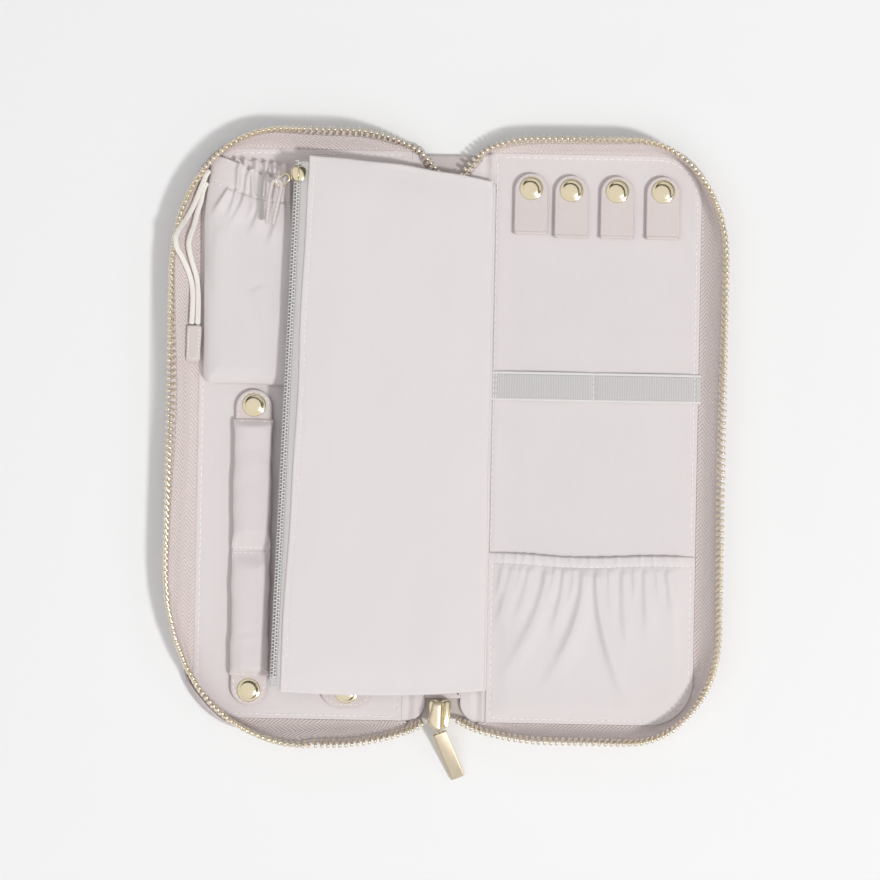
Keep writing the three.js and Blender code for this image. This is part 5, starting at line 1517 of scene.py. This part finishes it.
def add_main_slider():
    plate = rounded_polygon(SLIDER_PLATE)
    low, top = SLIDER_AT + (0, 0, PLATE_LOW_Z), SLIDER_AT + (0, 0, PLATE_TOP_Z)
    parts = [dome(plate, PLATE_LEVELS, low), dome(plate, PLATE_LEVELS, top),
             dome(rounded_polygon(SLIDER_POST), ((0.2, 0), (3.6, 0)), low)]
    for way in (-1, 1):
        rail = stack(way * 4.25, np.linspace(-1.5, 5.4, 8), 0)
        parts.append(sweep(rail + top + (0, 0, 0.05), round_section(0.7, 1.3, 8, 3)))
        parts.append(sweep(rail + low + (0, 0, 1.1), round_section(0.7, 0.9, 8, 3)))
    bridge = curve_points(BRIDGE + SLIDER_AT, 0.6)
    parts.append(sweep(bridge, round_section(0.9, 0.9, 10), up=(1, 0, 0)))
    piece("slider_body", joined(parts), "spine", "gold", "zip_slider")
    cap = dome(rounded_polygon(SLIDER_CAP, 8), CAP_LEVELS, top + (-0.2, 0, 0.95))
    piece("slider_cap", cap, "spine", "gold", look="gold_dark")

    bar = rounded_polygon(PULLER_BAR)
    from_middle = bar - bar.mean(axis=0)
    rings = []
    for z, side, ends in BAR_LEVELS:
        inset = np.column_stack([np.where(from_middle[:, 0] < 0, side, side * 0.35),
                                 np.full(len(bar), ends)])
        rings.append(stack(*(bar - np.copysign(inset, from_middle)).T, z))
    a = 2 * math.pi * np.arange(24) / 24
    eye = stack(1.35 * np.sin(a) + 0.2, 0.9 + 1.5 * np.cos(a), 0.15 + 0.25 * np.cos(a))
    verts, faces = joined([loft(rings), sweep(eye, round_section(0.8, 0.8, 8))])
    x, y, z = verts.T
    c, s = math.cos(PULLER_FALL), math.sin(PULLER_FALL)
    verts = turned(stack(x, y * c - z * s, y * s + z * c), PULLER_TURN) + PULLER_PIVOT
    obj = piece("main_puller_bar", (verts, faces), "main_puller", "gold", "zip_puller", "gold_dark")
    bevel = obj.modifiers.new("bevel", "BEVEL")
    bevel.width = 0.12 * MM
    bevel.segments = 2
    bevel.limit_method = "ANGLE"
    apply_modifiers(obj)


add_main_slider()

# Every solid that still shows gets a finish of its own kind
SOLID_LOOKS = (
    ("board", "board"), ("stud", "gold"), ("slider", "gold"), ("puller", "gold"), ("link", "gold"),
    ("cap", "gold"), ("zip_end", "gold"), ("teeth", "gold_teeth"), ("tab", "leather"),
    ("pull", "leather"), ("cover", "shell"), ("gusset", "shell"), ("elastic_band", "elastic"),
    ("pouch", "pouch"), ("coil", "grey_coil"), ("drawstring", "cord"),
)
for name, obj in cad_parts.items():
    obj.data.materials.clear()
    obj.data.materials.append(LOOK[next((look for key, look in SOLID_LOOKS if key in name), "lining")])


# Floor, lamp and world
FLOOR_REACH = 20
# World's brightness over the direction along its axis: one dark ring gives the metal its contrast
WORLD_AXIS = (-0.18, -0.19, 0.965)
WORLD_LEVELS = ((0.0, 0.2), (0.2, 0.32), (0.4, 1.0), (0.52, 1.0), (0.55, 0.08), (0.69, 0.08), (0.72, 1.0),
                (1.0, 1.05))
WORLD_STRENGTH = 0.80
LAMP_AT = (2.0, -1.45, 3.45)
LAMP_SIZE = 0.55
LAMP_POWER = 86


def add_floor():
    mesh = bpy.data.meshes.new("floor")
    corners = [(x * FLOOR_REACH, y * FLOOR_REACH, 0) for x, y in ((-1, -1), (1, -1), (1, 1), (-1, 1))]
    mesh.from_pydata(corners, [], [(0, 1, 2, 3)])
    floor = bpy.data.objects.new("floor", mesh)
    floor.location.z = -0.0002
    bpy.context.scene.collection.objects.link(floor)
    paper = Surface("floor_paper", (246, 246, 246), 0.9, specular=0.0)
    mesh.materials.append(paper.use(paper.tint(paper.noise(paper.place(), 2.0), 0.998, 1.0)))
    floor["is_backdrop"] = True


def add_light():
    world = bpy.data.worlds.new("world")
    world.use_nodes = True
    tree = world.node_tree
    back = tree.nodes["Background"]
    coords = tree.nodes.new("ShaderNodeTexCoord")
    height = tree.nodes.new("ShaderNodeVectorMath")
    height.operation = "DOT_PRODUCT"
    height.inputs[1].default_value = WORLD_AXIS
    ramp = tree.nodes.new("ShaderNodeValToRGB")
    tree.links.new(coords.outputs["Generated"], height.inputs[0])
    tree.links.new(height.outputs["Value"], ramp.inputs[0])
    tree.links.new(ramp.outputs[0], back.inputs[0])
    stops = ramp.color_ramp.elements
    for k, (place, level) in enumerate(WORLD_LEVELS):
        stop = stops[k] if k < 2 else stops.new(place)
        stop.position = place
        stop.color = (level, level, level, 1)
    back.inputs[1].default_value = WORLD_STRENGTH
    bpy.context.scene.world = world

    lamp = bpy.data.lights.new("key", "AREA")
    lamp.shape = "DISK"
    lamp.size = LAMP_SIZE
    lamp.energy = LAMP_POWER
    obj = bpy.data.objects.new("key", lamp)
    obj.location = LAMP_AT
    obj.rotation_euler = (-Vector(LAMP_AT)).to_track_quat("-Z", "Y").to_euler()
    bpy.context.scene.collection.objects.link(obj)


add_floor()
add_light()
bpy.context.scene.view_settings.view_transform = "Standard"

boxes = {"cad": cad_box, "visual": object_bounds()}
{k: [list(corner) for corner in box] for k, box in boxes.items()}
